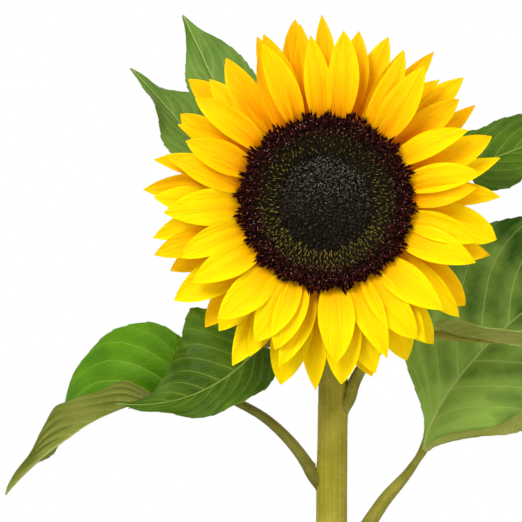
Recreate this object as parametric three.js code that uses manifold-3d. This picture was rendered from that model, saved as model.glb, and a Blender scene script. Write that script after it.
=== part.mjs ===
// A compact garden sunflower in full bloom, rooted and standing in the ground.
// Millimetres, +Z up, the flower faces -Y. The origin is the centre of the stem
// where it meets the ground, and nothing reaches below that level.

import * as THREE from "three";
import { mergeVertices } from "three/addons/utils/BufferGeometryUtils.js";
import Module from "manifold-3d";

const wasm = await Module();
wasm.setup();
const { Manifold, Mesh } = wasm;

// ---------------------------------------------------------------- main sizes
const CLEARANCE = 0.3;          // gap left between parts that touch

const HEAD_HEIGHT = 640;        // centre of the flower above the ground
const HEAD_X = -1.5;
const HEAD_FORWARD = 62;        // the face stands this far in front of the stem
const HEAD_TILT = 4;            // degrees the face looks upward

const STEM_FOOT_RADIUS = 12;
const STEM_TOP_RADIUS = 8.3;    // reached at STEM_TAPER_HEIGHT
const STEM_TAPER_HEIGHT = 560;
const FLARE = 3.6;              // extra radius of the root flare at the ground
const FLARE_HEIGHT = 16;
const KNUCKLE = 0.7;            // swelling where a leaf stalk leaves the stem
const STEM_SIDES = 12;
const STEM_STEPS = 32;

const PETIOLE_SIDES = 6;
const PETIOLE_STEPS = 6;
const FOOT_DEPTH = 3;           // how far a stalk's foot wraps the stem

const DISC_RADIUS = 50;         // outer edge of the open florets
const BUD_RADIUS = 29;          // unopened florets in the middle
const RECEPTACLE_RADIUS = 43.3;
const HEAD_SIDES = 32;
const RECEPTACLE_BACK = 18;     // where the neck of the stem meets it

const PETAL_THICKNESS = 1.3;
const BRACT_THICKNESS = 1.5;

// The stem stands straight, leans a little and bows forward at the neck.
const STEM_COURSE = [
  [0, 0, 0],
  [0.5, 0, 150],
  [2.0, 0, 320],
  [3.6, 0, 470],
  [4.6, 0, 560],
  [3.5, -2, 588],
  [1.5, -12, 614],
  [-0.3, -23, 630],
  [-1.5, -35, 638.0],
  [-1.5, -45.0, 638.8],
];

// Three whorls of ray petals, from the front one to the back one.
const WHORLS = [
  {
    name: "rays_front", count: 24, start: 2, radius: 44, depth: -1,
    length: 50, width: 9.8, pitch: [38, -12], ring: [-0.8, 2.5], seed: 1,
  },
  {
    name: "rays_middle", count: 24, start: 4, radius: 45, depth: 3,
    length: 55, width: 9.6, pitch: [20, -16], ring: [-4.6, -1.1], seed: 2,
  },
  {
    name: "rays_back", count: 24, start: 11, radius: 46, depth: 6.5,
    length: 57, width: 9.4, pitch: [4, -16], ring: [-8.0, -4.9], seed: 3,
  },
];

// Two rows of green bracts under the petals.
const BRACT_ROWS = [
  { count: 15, start: 3, radius: 42, depth: 10.4, length: 33, width: 8.4, pitch: [-6, -30], seed: 5 },
  { count: 13, start: 14, radius: 31, depth: 13.6, length: 30, width: 8.6, pitch: [-16, -48], seed: 6 },
];

// The leaves, each on its own stalk. Angles are in degrees: turn 0 points to +X,
// 90 to the back and 180 to -X. rise is the stalk's slope at the stem and at the
// blade, lift and droop are the midrib's slope at its base and tip, roll turns
// the blade about its midrib, cup and curl bend the left and right halves, and
// near is the left half's own outline where it differs from the right one's.
const UPPER_LEAVES = [
  {
    name: "right_low", z: 434, turn: 11, stalk: 78, rise: [62, 46], stout: 1.3,
    blade: 190, width: 62, lift: 104, droop: 25, bend: 0.3, roll: [-62, -66],
    cup: [8, 12], curl: [10, -30], sides: [0.96, 1.12], shape: [1.08, 1.15],
    lobe: 0, waist: 0.28,
  },
  {
    name: "left_low", z: 482, turn: 177, stalk: 86, rise: [63, 15],
    blade: 137, width: 46.5, lift: -8, droop: -43, sweep: 46, roll: [62, -54],
    over: [0.12, 0.74], cup: [46, 44], flatten: 0.5, curl: [4, 5],
    sides: [0.38, 1], shape: [0.84, 2.15], near: [0.9, 1.2],
  },
  {
    name: "right_side", z: 526, turn: -18, stalk: 82, rise: [80, -12],
    blade: 122, width: 26, lift: -6, droop: -15, roll: [2, -2],
    cup: [6, 16], curl: [5, 5], sides: [0.75, 1],
  },
  {
    name: "left_side", z: 562, turn: 200, swing: -6, stalk: 38, rise: [20, -30],
    blade: 91, width: 46, lift: -50, droop: 8, sweep: -10, roll: [60, 52],
    cup: [10, 10], curl: [10, 10], sides: [0.5, 0.92], shape: [0.6, 2.0],
    near: [0.4, 1.2],
  },
  {
    name: "left_high", z: 574, turn: 174, stalk: 70, rise: [58, 56],
    blade: 113, width: 29, droop: 46, roll: [45, 45],
    cup: [10, 10], curl: [5, 5], sides: [0.85, 0.9],
  },
  {
    name: "right_high", z: 580, turn: 14, stalk: 112, rise: [62, 33], stout: 1.25,
    blade: 115, width: 34, lift: 26, droop: 5, roll: [-50, -50],
    cup: [14, 10], curl: [5, 5], sides: [0.66, 0.82], shape: [0.45, 1.8],
    near: [0.3, 1.7],
  },
  {
    name: "left_top", z: 590, turn: 138, stalk: 62, rise: [50, 58],
    blade: 138, width: 30, droop: 58, roll: [38, 38],
    cup: [10, 10], curl: [5, 5], sides: [0.75, 1], shape: [0.6, 0.95],
  },
];

// Below them the leaves wind down the stem by the golden angle, then end in two
// opposite pairs.
const SPIRAL_HEIGHTS = [398, 352, 308, 262, 214];
const SPIRAL_START = 282;
const GOLDEN_ANGLE = 137.5;
const PAIR_HEIGHTS = [162, 110];
const PAIR_START = 24;

const LOWER_LEAVES = [];
SPIRAL_HEIGHTS.forEach((z, i) => {
  LOWER_LEAVES.push({
    name: `low_${i + 1}`,
    z,
    turn: SPIRAL_START - GOLDEN_ANGLE * i,
    stalk: 66 + 4 * i,
    rise: [38, 4],
    blade: 158 - 4 * i,
    width: 54 - 2 * i,
    lift: 0,
    droop: -42,
    roll: [6 - 3 * i, -4 + 3 * i],
    cup: [16, 16],
    curl: [-18, -18],
    coarse: true,
  });
});
PAIR_HEIGHTS.forEach((z, i) => {
  for (const side of [0, 1]) {
    LOWER_LEAVES.push({
      name: `pair_${i + 1}_${side === 0 ? "a" : "b"}`,
      z,
      turn: PAIR_START + 90 * i + 180 * side,
      stalk: 52 - 10 * i,
      rise: [34, 6],
      blade: 118 - 18 * i,
      width: 40 - 6 * i,
      lift: 2,
      droop: -40,
      roll: [4, -4],
      cup: [14, 14],
      curl: [-14, -14],
      coarse: true,
    });
  }
});
const LEAVES = [...UPPER_LEAVES, ...LOWER_LEAVES];

// -------------------------------------------------------------------- colours
const STEM_GREEN = { color: 0x9a9a4a, roughness: 0.75 };
const STALK_GREEN = { color: 0x8f9240, roughness: 0.72 };
const LEAF_GREEN = { color: 0x3f7a24, roughness: 0.6 };
const BRACT_GREEN = { color: 0x5f8a34, roughness: 0.75 };
const PETAL_YELLOW = { color: 0xffd800, roughness: 0.55 };
const FLORET_BROWN = { color: 0x2a0d0a, roughness: 0.85 };
const BUD_BLACK = { color: 0x25221f, roughness: 0.85 };
const PITH_GREEN = { color: 0x93a052, roughness: 0.8 };

// -------------------------------------------------------------------- helpers
const radians = THREE.MathUtils.degToRad;
const lerp = THREE.MathUtils.lerp;
const smooth = (f) => f * f * (3 - 2 * f);
const clamp = (f) => Math.min(1, Math.max(0, f));
const point = (x, y, z) => new THREE.Vector3(x, y, z);

// Repeatable unevenness between -1 and 1.
function wobble(seed, k) {
  const v = Math.sin(seed * 12.9898 + k * 78.233) * 43758.5453;
  return 2 * (v - Math.floor(v)) - 1;
}

// A closed solid from rings of points: every ring has the same count, and the
// first and last rings are closed by a fan about their centres. The two halves of
// a ring are split along mirrored diagonals, so a thin blade's upper and lower
// sides fold along the same lines and never cross.
function skin(rings) {
  const n = rings[0].length;
  const positions = [];
  const index = [];
  for (const ring of rings) {
    for (const p of ring) {
      positions.push(p.x, p.y, p.z);
    }
  }
  for (let i = 0; i + 1 < rings.length; i += 1) {
    for (let j = 0; j < n; j += 1) {
      const a = i * n + j;
      const b = i * n + ((j + 1) % n);
      index.push(...(2 * j < n ? [a, b, b + n, a, b + n, a + n] : [a, b, a + n, b, b + n, a + n]));
    }
  }
  for (const [i, flip] of [[0, true], [rings.length - 1, false]]) {
    const centre = point(0, 0, 0);
    for (const p of rings[i]) {
      centre.addScaledVector(p, 1 / n);
    }
    const c = positions.length / 3;
    positions.push(centre.x, centre.y, centre.z);
    for (let j = 0; j < n; j += 1) {
      const a = i * n + j;
      const b = i * n + ((j + 1) % n);
      index.push(...(flip ? [c, b, a] : [c, a, b]));
    }
  }
  const geometry = new THREE.BufferGeometry();
  geometry.setAttribute("position", new THREE.Float32BufferAttribute(positions, 3));
  geometry.setIndex(index);
  return outward(geometry);
}

// Turns a closed geometry's faces outward.
function outward(geometry) {
  const p = geometry.attributes.position;
  const index = geometry.index.array;
  const a = point(0, 0, 0);
  const b = point(0, 0, 0);
  const c = point(0, 0, 0);
  let volume = 0;
  for (let i = 0; i < index.length; i += 3) {
    a.fromBufferAttribute(p, index[i]);
    b.fromBufferAttribute(p, index[i + 1]);
    c.fromBufferAttribute(p, index[i + 2]);
    volume += a.dot(b.cross(c));
  }
  if (volume < 0) {
    for (let i = 0; i < index.length; i += 3) {
      [index[i + 1], index[i + 2]] = [index[i + 2], index[i + 1]];
    }
  }
  return geometry;
}

function toManifold(geometry) {
  const merged = mergeVertices(geometry, 1e-5);
  const mesh = new Mesh({
    numProp: 3,
    vertProperties: new Float32Array(merged.attributes.position.array),
    triVerts: new Uint32Array(merged.index.array),
  });
  return new Manifold(mesh);
}

function fromManifold(solid) {
  const mesh = solid.getMesh();
  const geometry = new THREE.BufferGeometry();
  const positions = [];
  for (let i = 0; i < mesh.numVert; i += 1) {
    positions.push(...mesh.vertProperties.slice(i * mesh.numProp, i * mesh.numProp + 3));
  }
  geometry.setAttribute("position", new THREE.Float32BufferAttribute(positions, 3));
  geometry.setIndex([...mesh.triVerts]);
  return geometry;
}

function join(geometries) {
  return fromManifold(Manifold.union(geometries.map(toManifold)));
}

const group = new THREE.Group();

function add(name, geometry, look) {
  geometry.computeVertexNormals();
  const material = new THREE.MeshStandardMaterial({ ...look, metalness: 0, side: THREE.DoubleSide });
  const mesh = new THREE.Mesh(geometry, material);
  mesh.name = name;
  group.add(mesh);
}

// ----------------------------------------------------------------------- stem
const stemCurve = new THREE.CatmullRomCurve3(
  STEM_COURSE.map((p) => point(...p)),
  false,
  "catmullrom",
  0.5,
);

function stemAt(z) {
  let low = 0;
  let high = 1;
  for (let i = 0; i < 40; i += 1) {
    const half = (low + high) / 2;
    if (stemCurve.getPoint(half).z < z) {
      low = half;
    } else {
      high = half;
    }
  }
  return stemCurve.getPoint((low + high) / 2);
}

const stemRadius = (z) => lerp(STEM_FOOT_RADIUS, STEM_TOP_RADIUS, clamp(z / STEM_TAPER_HEIGHT));

// The taper, the root flare and a slight knuckle at each leaf stalk.
function stemRadiusAt(z, angle) {
  let radius = stemRadius(z) + FLARE * Math.exp(-z / FLARE_HEIGHT) * (1 + 0.2 * Math.cos(5 * angle));
  for (const leaf of LEAVES) {
    const near = Math.exp(-(((z - leaf.z) / 7) ** 2));
    const facing = Math.max(0, Math.cos(angle - radians(leaf.turn)));
    radius += KNUCKLE * near * facing;
  }
  return radius;
}

function stemSolid(extra) {
  const rings = [];
  for (let i = 0; i <= STEM_STEPS; i += 1) {
    const t = (i / STEM_STEPS) ** 0.9;
    const centre = stemCurve.getPoint(t);
    const along = i === 0 ? point(0, 0, 1) : stemCurve.getTangent(t);
    const across = point(1, 0, 0).addScaledVector(along, -along.x).normalize();
    const behind = along.clone().cross(across);
    const ring = [];
    for (let j = 0; j < STEM_SIDES; j += 1) {
      const angle = (2 * Math.PI * j) / STEM_SIDES;
      const radius = stemRadiusAt(centre.z, angle) + extra;
      const p = centre.clone();
      p.addScaledVector(across, Math.cos(angle) * radius);
      p.addScaledVector(behind, Math.sin(angle) * radius);
      ring.push(p);
    }
    rings.push(ring);
  }
  return skin(rings);
}

// --------------------------------------------------------------------- leaves
// Directions of a stalk or midrib: along it, to its right and up from it.
function directions(turn, pitch, roll) {
  const f = radians(turn);
  const p = radians(pitch);
  const r = radians(roll);
  const along = point(Math.cos(p) * Math.cos(f), Math.cos(p) * Math.sin(f), Math.sin(p));
  const level = point(Math.sin(f), -Math.cos(f), 0);
  const upright = level.clone().cross(along);
  const right = level.clone().multiplyScalar(Math.cos(r)).addScaledVector(upright, Math.sin(r));
  const up = upright.clone().multiplyScalar(Math.cos(r)).addScaledVector(level, -Math.sin(r));
  return { along, right, up };
}

// Half-width along the blade, 1 at its widest.
function outline(g, [a, b]) {
  const top = (a / (a + b)) ** a * (b / (a + b)) ** b;
  return ((g + 0.003) ** a * Math.max(0, 1 - g) ** b) / top;
}

// How far the half-blade has opened where it leaves the midrib late.
function waistAt(g, waist) {
  return lerp(0.08, 1, smooth(clamp((g - 0.03) / (waist - 0.03))));
}

// Where a fraction q of a half-blade's arc lies, across and up.
function section(q, cup, curl) {
  const c = radians(cup);
  const k = radians(curl);
  return [(Math.sin(c + k * q) - Math.sin(c)) / k, (Math.cos(c) - Math.cos(c + k * q)) / k];
}

function stalkRadius(leaf, f) {
  const size = leaf.blade / 190;
  const radius = lerp(3.3 + 0.9 * size, 2.0 + 0.8 * size, smooth(f)) + 1.4 * Math.exp(-f * 14);
  return radius * (leaf.stout ?? 1);
}

function stalkCourse(leaf) {
  const swing = leaf.swing ?? 0;
  const foot = directions(leaf.turn, 0, 0);
  const p = stemAt(leaf.z).addScaledVector(foot.along, stemRadius(leaf.z) + CLEARANCE);
  const course = [p.clone()];
  const fine = 12;
  for (let i = 0; i < fine; i += 1) {
    const f = (i + 0.5) / fine;
    const way = directions(leaf.turn + swing * f, lerp(leaf.rise[0], leaf.rise[1], f), 0);
    p.addScaledVector(way.along, leaf.stalk / fine);
    course.push(p.clone());
  }
  return course;
}

function bladeStations(leaf, steps) {
  const turn = leaf.turn + (leaf.swing ?? 0);
  const lift = leaf.lift ?? leaf.rise[1];
  const bend = leaf.bend ?? 1;
  const sweep = leaf.sweep ?? 0;
  const [from, to] = leaf.over ?? [0, 1];
  const way = (g) => {
    const roll = lerp(leaf.roll[0], leaf.roll[1], smooth(clamp((g - from) / (to - from))));
    return directions(turn + sweep * g ** bend, lerp(lift, leaf.droop, g ** bend), roll);
  };
  const course = stalkCourse(leaf);
  const p = course[course.length - 1].clone();
  p.addScaledVector(way(0).along, CLEARANCE);
  const stations = [];
  const fine = 24;
  for (let i = 0; i <= fine; i += 1) {
    if (i % (fine / steps) === 0) {
      stations.push({ g: i / fine, p: p.clone(), ...way(i / fine) });
    }
    p.addScaledVector(way((i + 0.5) / fine).along, leaf.blade / fine);
  }
  return stations;
}

// One point of the blade's middle surface: q runs from -1 at the left margin
// to 1 at the right one.
function bladePoint(leaf, station, q) {
  const { g, p, along, right, up } = station;
  const side = q < 0 ? 0 : 1;
  const s = Math.abs(q);
  const shape = leaf.shape ?? [0.6, 1.1];
  const own = side === 0 ? (leaf.near ?? shape) : shape;
  const form = outline(g, own) * (side === 0 && leaf.waist ? waistAt(g, leaf.waist) : 1);
  const width = Math.max(leaf.width * form, 1.2);
  const [x, y] = section(s, leaf.cup[side] * lerp(1, leaf.flatten ?? 1, g), leaf.curl[side]);
  const reach = width * (leaf.sides ?? [1, 1])[side];
  const wave = Math.sin(2 * Math.PI * (2.5 * g + 0.3 * side) + leaf.z);
  const ruffle = 3 * s * s * wave * Math.min(1, 6 * g) * Math.min(1, 4 * (1 - g));
  const lobe = -(leaf.lobe ?? 0.12) * leaf.blade * s * s * (1 - g) ** 6 * form;
  const out = p.clone();
  out.addScaledVector(right, Math.sign(q) * x * reach);
  out.addScaledVector(up, y * reach + ruffle);
  out.addScaledVector(along, lobe);
  return out;
}

// The upper side's direction at that point.
function bladeNormal(leaf, station, q) {
  const side = q < 0 ? 0 : 1;
  const cup = leaf.cup[side] * lerp(1, leaf.flatten ?? 1, station.g);
  const slope = q === 0 ? 0 : radians(cup + leaf.curl[side] * Math.abs(q));
  const face = station.up.clone().multiplyScalar(Math.cos(slope));
  return face.addScaledVector(station.right, -Math.sign(q) * Math.sin(slope));
}

function buildLeaf(leaf) {
  const steps = leaf.coarse ? 8 : 12;
  const half = leaf.coarse ? 2 : 3;
  // The foot is hollowed to the stem's own surface, so it sits close all round.
  const petiole = toManifold(stalkSolid(leaf, 0)).subtract(stemEnvelope);
  add(`petiole_${leaf.name}`, fromManifold(petiole), STALK_GREEN);

  // The blade is a thin lens: thickest at the midrib, thin at the margins.
  const stations = bladeStations(leaf, steps);
  const thickness = Math.max(1.6, leaf.blade / 85);
  const blade = [];
  for (const station of stations) {
    const body = thickness * (1 - 0.75 * station.g ** 2);
    const over = [];
    const under = [];
    for (let j = -half; j <= half; j += 1) {
      const q = j / half;
      const p = bladePoint(leaf, station, q);
      const edge = Math.abs(j) === half;
      const t = edge ? 0 : (body * (1 - 0.35 * Math.abs(q))) / 2;
      const face = bladeNormal(leaf, station, q);
      over.push(p.clone().addScaledVector(face, t));
      if (!edge) {
        under.push(p.clone().addScaledVector(face, -t));
      }
    }
    blade.push([...over, ...under.reverse()]);
  }
  blade[blade.length - 1] = tipRing(blade[blade.length - 1], stations[stations.length - 1].p, 0.5);
  const around = toManifold(stalkSolid(leaf, CLEARANCE));
  add(`blade_${leaf.name}`, fromManifold(toManifold(skin(blade)).subtract(around)), LEAF_GREEN);
}

// The stalk from its foot inside the stem's surface to the blade.
function stalkSolid(leaf, extra) {
  const course = stalkCourse(leaf);
  const rings = [];
  const stride = (course.length - 1) / PETIOLE_STEPS;
  for (let i = -1; i <= PETIOLE_STEPS; i += 1) {
    const f = Math.max(0, i) / PETIOLE_STEPS;
    const pitch = i <= 0 ? 0 : lerp(leaf.rise[0], leaf.rise[1], f);
    const way = directions(leaf.turn + (leaf.swing ?? 0) * f, pitch, 0);
    const centre = course[Math.max(0, i) * stride].clone();
    centre.addScaledVector(way.along, i < 0 ? -FOOT_DEPTH : 0);
    centre.addScaledVector(way.along, i === PETIOLE_STEPS ? extra : 0);
    const radius = stalkRadius(leaf, f) + extra;
    const ring = [];
    for (let j = 0; j < PETIOLE_SIDES; j += 1) {
      const angle = (2 * Math.PI * j) / PETIOLE_SIDES;
      const p = centre.clone();
      p.addScaledVector(way.right, Math.cos(angle) * radius);
      p.addScaledVector(way.up, Math.sin(angle) * radius * (i <= 0 ? 1.3 : 0.9));
      ring.push(p);
    }
    rings.push(ring);
  }
  return skin(rings);
}

// Draws the last ring of a blade in toward the tip.
function tipRing(ring, tip, share) {
  return ring.map((p) => p.clone().lerp(tip, share));
}

// ----------------------------------------------------------------------- head
const tilt = radians(HEAD_TILT);
const headFront = point(0, -Math.cos(tilt), Math.sin(tilt));
const headRight = point(1, 0, 0);
const headUp = point(0, Math.sin(tilt), Math.cos(tilt));
const headCentre = point(HEAD_X, -HEAD_FORWARD, HEAD_HEIGHT);

// A point of the head: angle round the face, distance from its centre, and how
// far it stands forward.
function headPoint(angle, radius, front) {
  const p = headCentre.clone();
  p.addScaledVector(headRight, Math.cos(angle) * radius);
  p.addScaledVector(headUp, Math.sin(angle) * radius);
  p.addScaledVector(headFront, front);
  return p;
}

// A turned solid about the head's axis, from a closed profile [radius, front].
// A profile that starts and ends on the axis gives a full body, else a ring.
function turned(profile, sides) {
  const full = profile[0][0] === 0;
  if (full) {
    const rings = profile.slice(1, -1).map(([radius, front]) => {
      const ring = [];
      for (let j = 0; j < sides; j += 1) {
        ring.push(headPoint((2 * Math.PI * j) / sides, radius, front));
      }
      return ring;
    });
    return skin(rings);
  }
  const positions = [];
  const index = [];
  const n = profile.length;
  for (let j = 0; j < sides; j += 1) {
    for (const [radius, front] of profile) {
      const p = headPoint((2 * Math.PI * j) / sides, radius, front);
      positions.push(p.x, p.y, p.z);
    }
  }
  for (let j = 0; j < sides; j += 1) {
    const next = (j + 1) % sides;
    for (let i = 0; i < n; i += 1) {
      const k = (i + 1) % n;
      index.push(j * n + i, j * n + k, next * n + k, j * n + i, next * n + k, next * n + i);
    }
  }
  const geometry = new THREE.BufferGeometry();
  geometry.setAttribute("position", new THREE.Float32BufferAttribute(positions, 3));
  geometry.setIndex(index);
  return outward(geometry);
}

// Half-width of a petal along its length: narrow at the base, widest past the
// middle, then quickly to a point.
function petalOutline(u) {
  return (0.42 + 0.58 * Math.sin((Math.PI / 2) * Math.min(1, u / 0.6))) * (1 - u ** 3.6) ** 0.95;
}

// Half-width of a bract: broad at the base, drawn out to a point.
function bractOutline(u) {
  return (1 - u ** 1.6) * (0.8 + 0.2 * Math.sin(Math.PI * u));
}

// A petal or bract that starts inside its ring and bends along its length.
function rayBlade(row, i, steps, form, thickness, unevenness) {
  const seed = row.seed * 100 + i;
  const angle = radians(row.start + (360 / row.count) * (i + 0.34 * wobble(seed, 1) * unevenness));
  const outwardWay = headRight.clone().multiplyScalar(Math.cos(angle)).addScaledVector(headUp, Math.sin(angle));
  const sideWay = headRight.clone().multiplyScalar(-Math.sin(angle)).addScaledVector(headUp, Math.cos(angle));
  const p = headPoint(angle, row.radius, -row.depth);
  const round = 0.02 * Math.sin(angle) - 0.07 * Math.cos(angle) ** 2;
  const length = row.length * (0.99 + 0.08 * wobble(seed, 2) + round);
  const width = row.width * (1 + 0.18 * wobble(seed, 3) - 0.12 * Math.sin(angle));
  const pitchFrom = row.pitch[0] + 6 * wobble(seed, 4) * unevenness;
  const pitchTo = row.pitch[1] + 12 * wobble(seed, 5) * unevenness;
  const yaw = radians(8 * wobble(seed, 6));
  const twist = radians(14 * wobble(seed, 7) * unevenness);
  const rings = [];
  for (let j = 0; j <= steps; j += 1) {
    const u = j / steps;
    const pitch = radians(lerp(pitchFrom, pitchTo, u));
    const turn = yaw * u * 2;
    const along = outwardWay.clone().multiplyScalar(Math.cos(turn)).addScaledVector(sideWay, Math.sin(turn));
    along.multiplyScalar(Math.cos(pitch)).addScaledVector(headFront, Math.sin(pitch));
    const flat = sideWay.clone().multiplyScalar(Math.cos(turn)).addScaledVector(outwardWay, -Math.sin(turn));
    const upright = along.clone().cross(flat).normalize();
    if (upright.dot(headFront) < 0) {
      upright.negate();
    }
    const side = flat.clone().multiplyScalar(Math.cos(twist * u)).addScaledVector(upright, Math.sin(twist * u));
    const up = upright.clone().multiplyScalar(Math.cos(twist * u)).addScaledVector(flat, -Math.sin(twist * u));
    const half = Math.max(width * form(u), 0.5);
    const body = thickness * (1 - 0.6 * u);
    const rim = 0.22 * half;
    rings.push([
      p.clone().addScaledVector(side, -half).addScaledVector(up, rim),
      p.clone().addScaledVector(up, body / 2),
      p.clone().addScaledVector(side, half).addScaledVector(up, rim),
      p.clone().addScaledVector(up, -body / 2),
    ]);
    p.addScaledVector(along, length / steps);
  }
  return skin(rings);
}

function buildWhorl(whorl) {
  const [low, high] = whorl.ring;
  const inner = RECEPTACLE_RADIUS + CLEARANCE;
  const outer = whorl.radius + 1.6;
  const pieces = [turned([[inner, low], [outer, low], [outer, high], [inner, high]], HEAD_SIDES)];
  for (let i = 0; i < whorl.count; i += 1) {
    pieces.push(rayBlade(whorl, i, 5, petalOutline, PETAL_THICKNESS, 1));
  }
  add(whorl.name, join(pieces), PETAL_YELLOW);
}

function buildHead() {
  const back = -RECEPTACLE_BACK;
  // The receptacle: a shallow cone that widens from the neck to the rim.
  add("receptacle", turned([
    [0, back],
    [8.2, back],
    [14, back + 3],
    [RECEPTACLE_RADIUS, -8.3],
    [RECEPTACLE_RADIUS, 1.6],
    [RECEPTACLE_RADIUS - 2, 2.0],
    [BUD_RADIUS, 2.4],
    [12, 2.6],
    [0, 2.6],
  ], HEAD_SIDES), PITH_GREEN);

  // The cup that carries the bracts lies against the receptacle's back.
  const pieces = [turned([
    [15, -15.1],
    [43.6, -8.6],
    [46, -8.3],
    [45.4, -10.2],
    [40, -11.6],
    [15, -16.9],
  ], HEAD_SIDES)];
  for (const row of BRACT_ROWS) {
    for (let i = 0; i < row.count; i += 1) {
      pieces.push(rayBlade(row, i, 3, bractOutline, BRACT_THICKNESS, 0.7));
    }
  }
  add("bracts", join(pieces), BRACT_GREEN);

  for (const whorl of WHORLS) {
    buildWhorl(whorl);
  }

  // Open florets form a thick ring, and the buds a low dome inside it.
  add("disc_ring", turned([
    [BUD_RADIUS + CLEARANCE, 2.8],
    [RECEPTACLE_RADIUS - 1.6, 2.4],
    [RECEPTACLE_RADIUS + 0.6, 4.4],
    [DISC_RADIUS - 0.6, 8.6],
    [DISC_RADIUS, 10.4],
    [DISC_RADIUS - 2.6, 12.8],
    [43, 13.6],
    [36, 12.0],
    [BUD_RADIUS + CLEARANCE, 9.2],
  ], HEAD_SIDES), FLORET_BROWN);
  add("disc_center", turned([
    [0, 3.0],
    [12, 3.0],
    [BUD_RADIUS, 2.8],
    [BUD_RADIUS, 7.4],
    [22, 8.6],
    [12, 10.2],
    [5, 10.8],
    [0, 10.8],
  ], HEAD_SIDES), BUD_BLACK);
}

// The neck is cut off square to the head, just short of the receptacle.
const neck = headFront.clone().negate();
const neckOffset = neck.dot(headPoint(0, 0, -RECEPTACLE_BACK - CLEARANCE));
const stem = toManifold(stemSolid(0)).trimByPlane(neck.toArray(), neckOffset);
add("stem", fromManifold(stem), STEM_GREEN);
const stemEnvelope = toManifold(stemSolid(CLEARANCE));
for (const leaf of LEAVES) {
  buildLeaf(leaf);
}
buildHead();

export default group;
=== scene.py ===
# %% [markdown]
# # A garden sunflower, from bare solids to a living plant
# The plant comes in as a fixed frame of solids: a stem, leaf stalks, blades,
# bracts, three whorls of petals and a disc. Each solid could be painted as it is,
# but its facets would show. Here each one is replaced by a finer piece that grows
# by the same rule and stays within the same reach. The rule is written again
# below, so that this lesson can be read on its own.

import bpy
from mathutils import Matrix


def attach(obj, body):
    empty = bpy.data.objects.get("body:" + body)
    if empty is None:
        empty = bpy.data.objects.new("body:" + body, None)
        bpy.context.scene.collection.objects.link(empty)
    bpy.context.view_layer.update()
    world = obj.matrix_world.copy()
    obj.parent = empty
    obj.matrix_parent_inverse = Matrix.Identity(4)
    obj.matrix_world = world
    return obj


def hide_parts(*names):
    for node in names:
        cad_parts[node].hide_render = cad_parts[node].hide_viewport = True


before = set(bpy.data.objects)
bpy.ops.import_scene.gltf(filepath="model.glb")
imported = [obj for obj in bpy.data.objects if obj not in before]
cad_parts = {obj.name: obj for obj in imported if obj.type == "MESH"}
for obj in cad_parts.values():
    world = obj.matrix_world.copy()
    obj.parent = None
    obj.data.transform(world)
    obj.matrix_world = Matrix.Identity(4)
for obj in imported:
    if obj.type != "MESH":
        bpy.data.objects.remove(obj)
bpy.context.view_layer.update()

import math
from functools import partial

import bmesh
import bpy
import numpy as np
from mathutils import Vector

print("nodes in the frame:", len(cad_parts))

# %% [markdown]
# ## Helpers for blanks
# A primitive is only a blank here. Its points are read into an array, moved there
# by the plant's rule, and written back. Modelling each leaf by hand would look
# less regular, but a rule keeps the piece within the solid it replaces. An
# operator acts on all that is selected, so everything is deselected before a
# primitive is added. Sizes below are in millimetres, and points are turned into
# metres in the one place where they are written.

# %% Select, read and write
MM = 0.001


def deselect():
    if bpy.context.mode != "OBJECT":
        bpy.ops.object.mode_set(mode="OBJECT")
    bpy.ops.object.select_all(action="DESELECT")


def only(piece):
    deselect()
    bpy.context.view_layer.objects.active = piece
    piece.select_set(True)


def points_of(piece):
    points = np.empty(len(piece.data.vertices) * 3)
    piece.data.vertices.foreach_get("co", points)
    return points.reshape(-1, 3)


def write_points(piece, points):
    piece.data.vertices.foreach_set("co", (np.asarray(points) * MM).ravel())
    piece.data.update()


def write_attribute(piece, name, values):
    layer = piece.data.attributes.new(name, "FLOAT_VECTOR", "POINT")
    layer.data.foreach_set("vector", np.asarray(values, float).ravel())


print("meshes so far:", len(bpy.data.meshes))

# %% [markdown]
# A finished piece has its modifiers applied, its shells closed with their faces
# outward, and smooth shading that still breaks at a real edge.

# %% Finish a mesh
EDGE_ANGLE, SHEET_ANGLE, SMALL_ANGLE = 50, 60, 40


def apply_all(piece):
    only(piece)
    for modifier in list(piece.modifiers):
        bpy.ops.object.modifier_apply(modifier=modifier.name)


def smooth_shade(piece, angle=EDGE_ANGLE):
    only(piece)
    bpy.ops.object.shade_smooth_by_angle(angle=math.radians(angle))
    deselect()


def turn_outward(piece):
    only(piece)
    bpy.ops.object.mode_set(mode="EDIT")
    bpy.ops.mesh.select_all(action="SELECT")
    bpy.ops.mesh.normals_make_consistent(inside=False)
    deselect()


print("shading breaks at", EDGE_ANGLE, "degrees, on sheets at", SHEET_ANGLE)

# %% [markdown]
# ## Repeatable unevenness
# Nothing on a plant is quite regular, yet the script must give the same plant each
# time. Python's random numbers would do with a seed. The fraction of a large sine
# does it with no state at all: the same number in gives the same jitter out, in
# whatever order the pieces are made. Its second number only tells one kind of
# jitter from another. The small functions after it ease a change between two
# values, hold a share between 0 and 1, and bring vectors to length 1.

# %% Unevenness and easing
def wobble(seed, k):
    v = np.sin(np.asarray(seed, float) * 12.9898 + k * 78.233) * 43758.5453
    return 2 * (v - np.floor(v)) - 1


def held(f):
    return np.clip(f, 0, 1)


def smooth(f):
    f = held(f)
    return f * f * (3 - 2 * f)


def lerp(a, b, f):
    return a + (b - a) * f


def column(values):
    return np.asarray(values)[..., None]


def unit(vectors):
    return vectors / np.linalg.norm(vectors, axis=1, keepdims=True)


print("three jitters:", wobble([1, 2, 3], 1).round(2))

# %% [markdown]
# ## The camera
# A long lens a metre and a half away keeps the flower's face free of distortion.
# It looks level, with the flower in the upper part of the frame. The camera comes
# first, so that each piece can be judged in the picture as soon as it is made.

# %% Camera
VIEW_WIDTH = 0.2902
VIEW_DISTANCE = 1.5
SENSOR = 36.0
CAMERA_PLACE = (-0.0373, -1.56, 0.6078)

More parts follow.
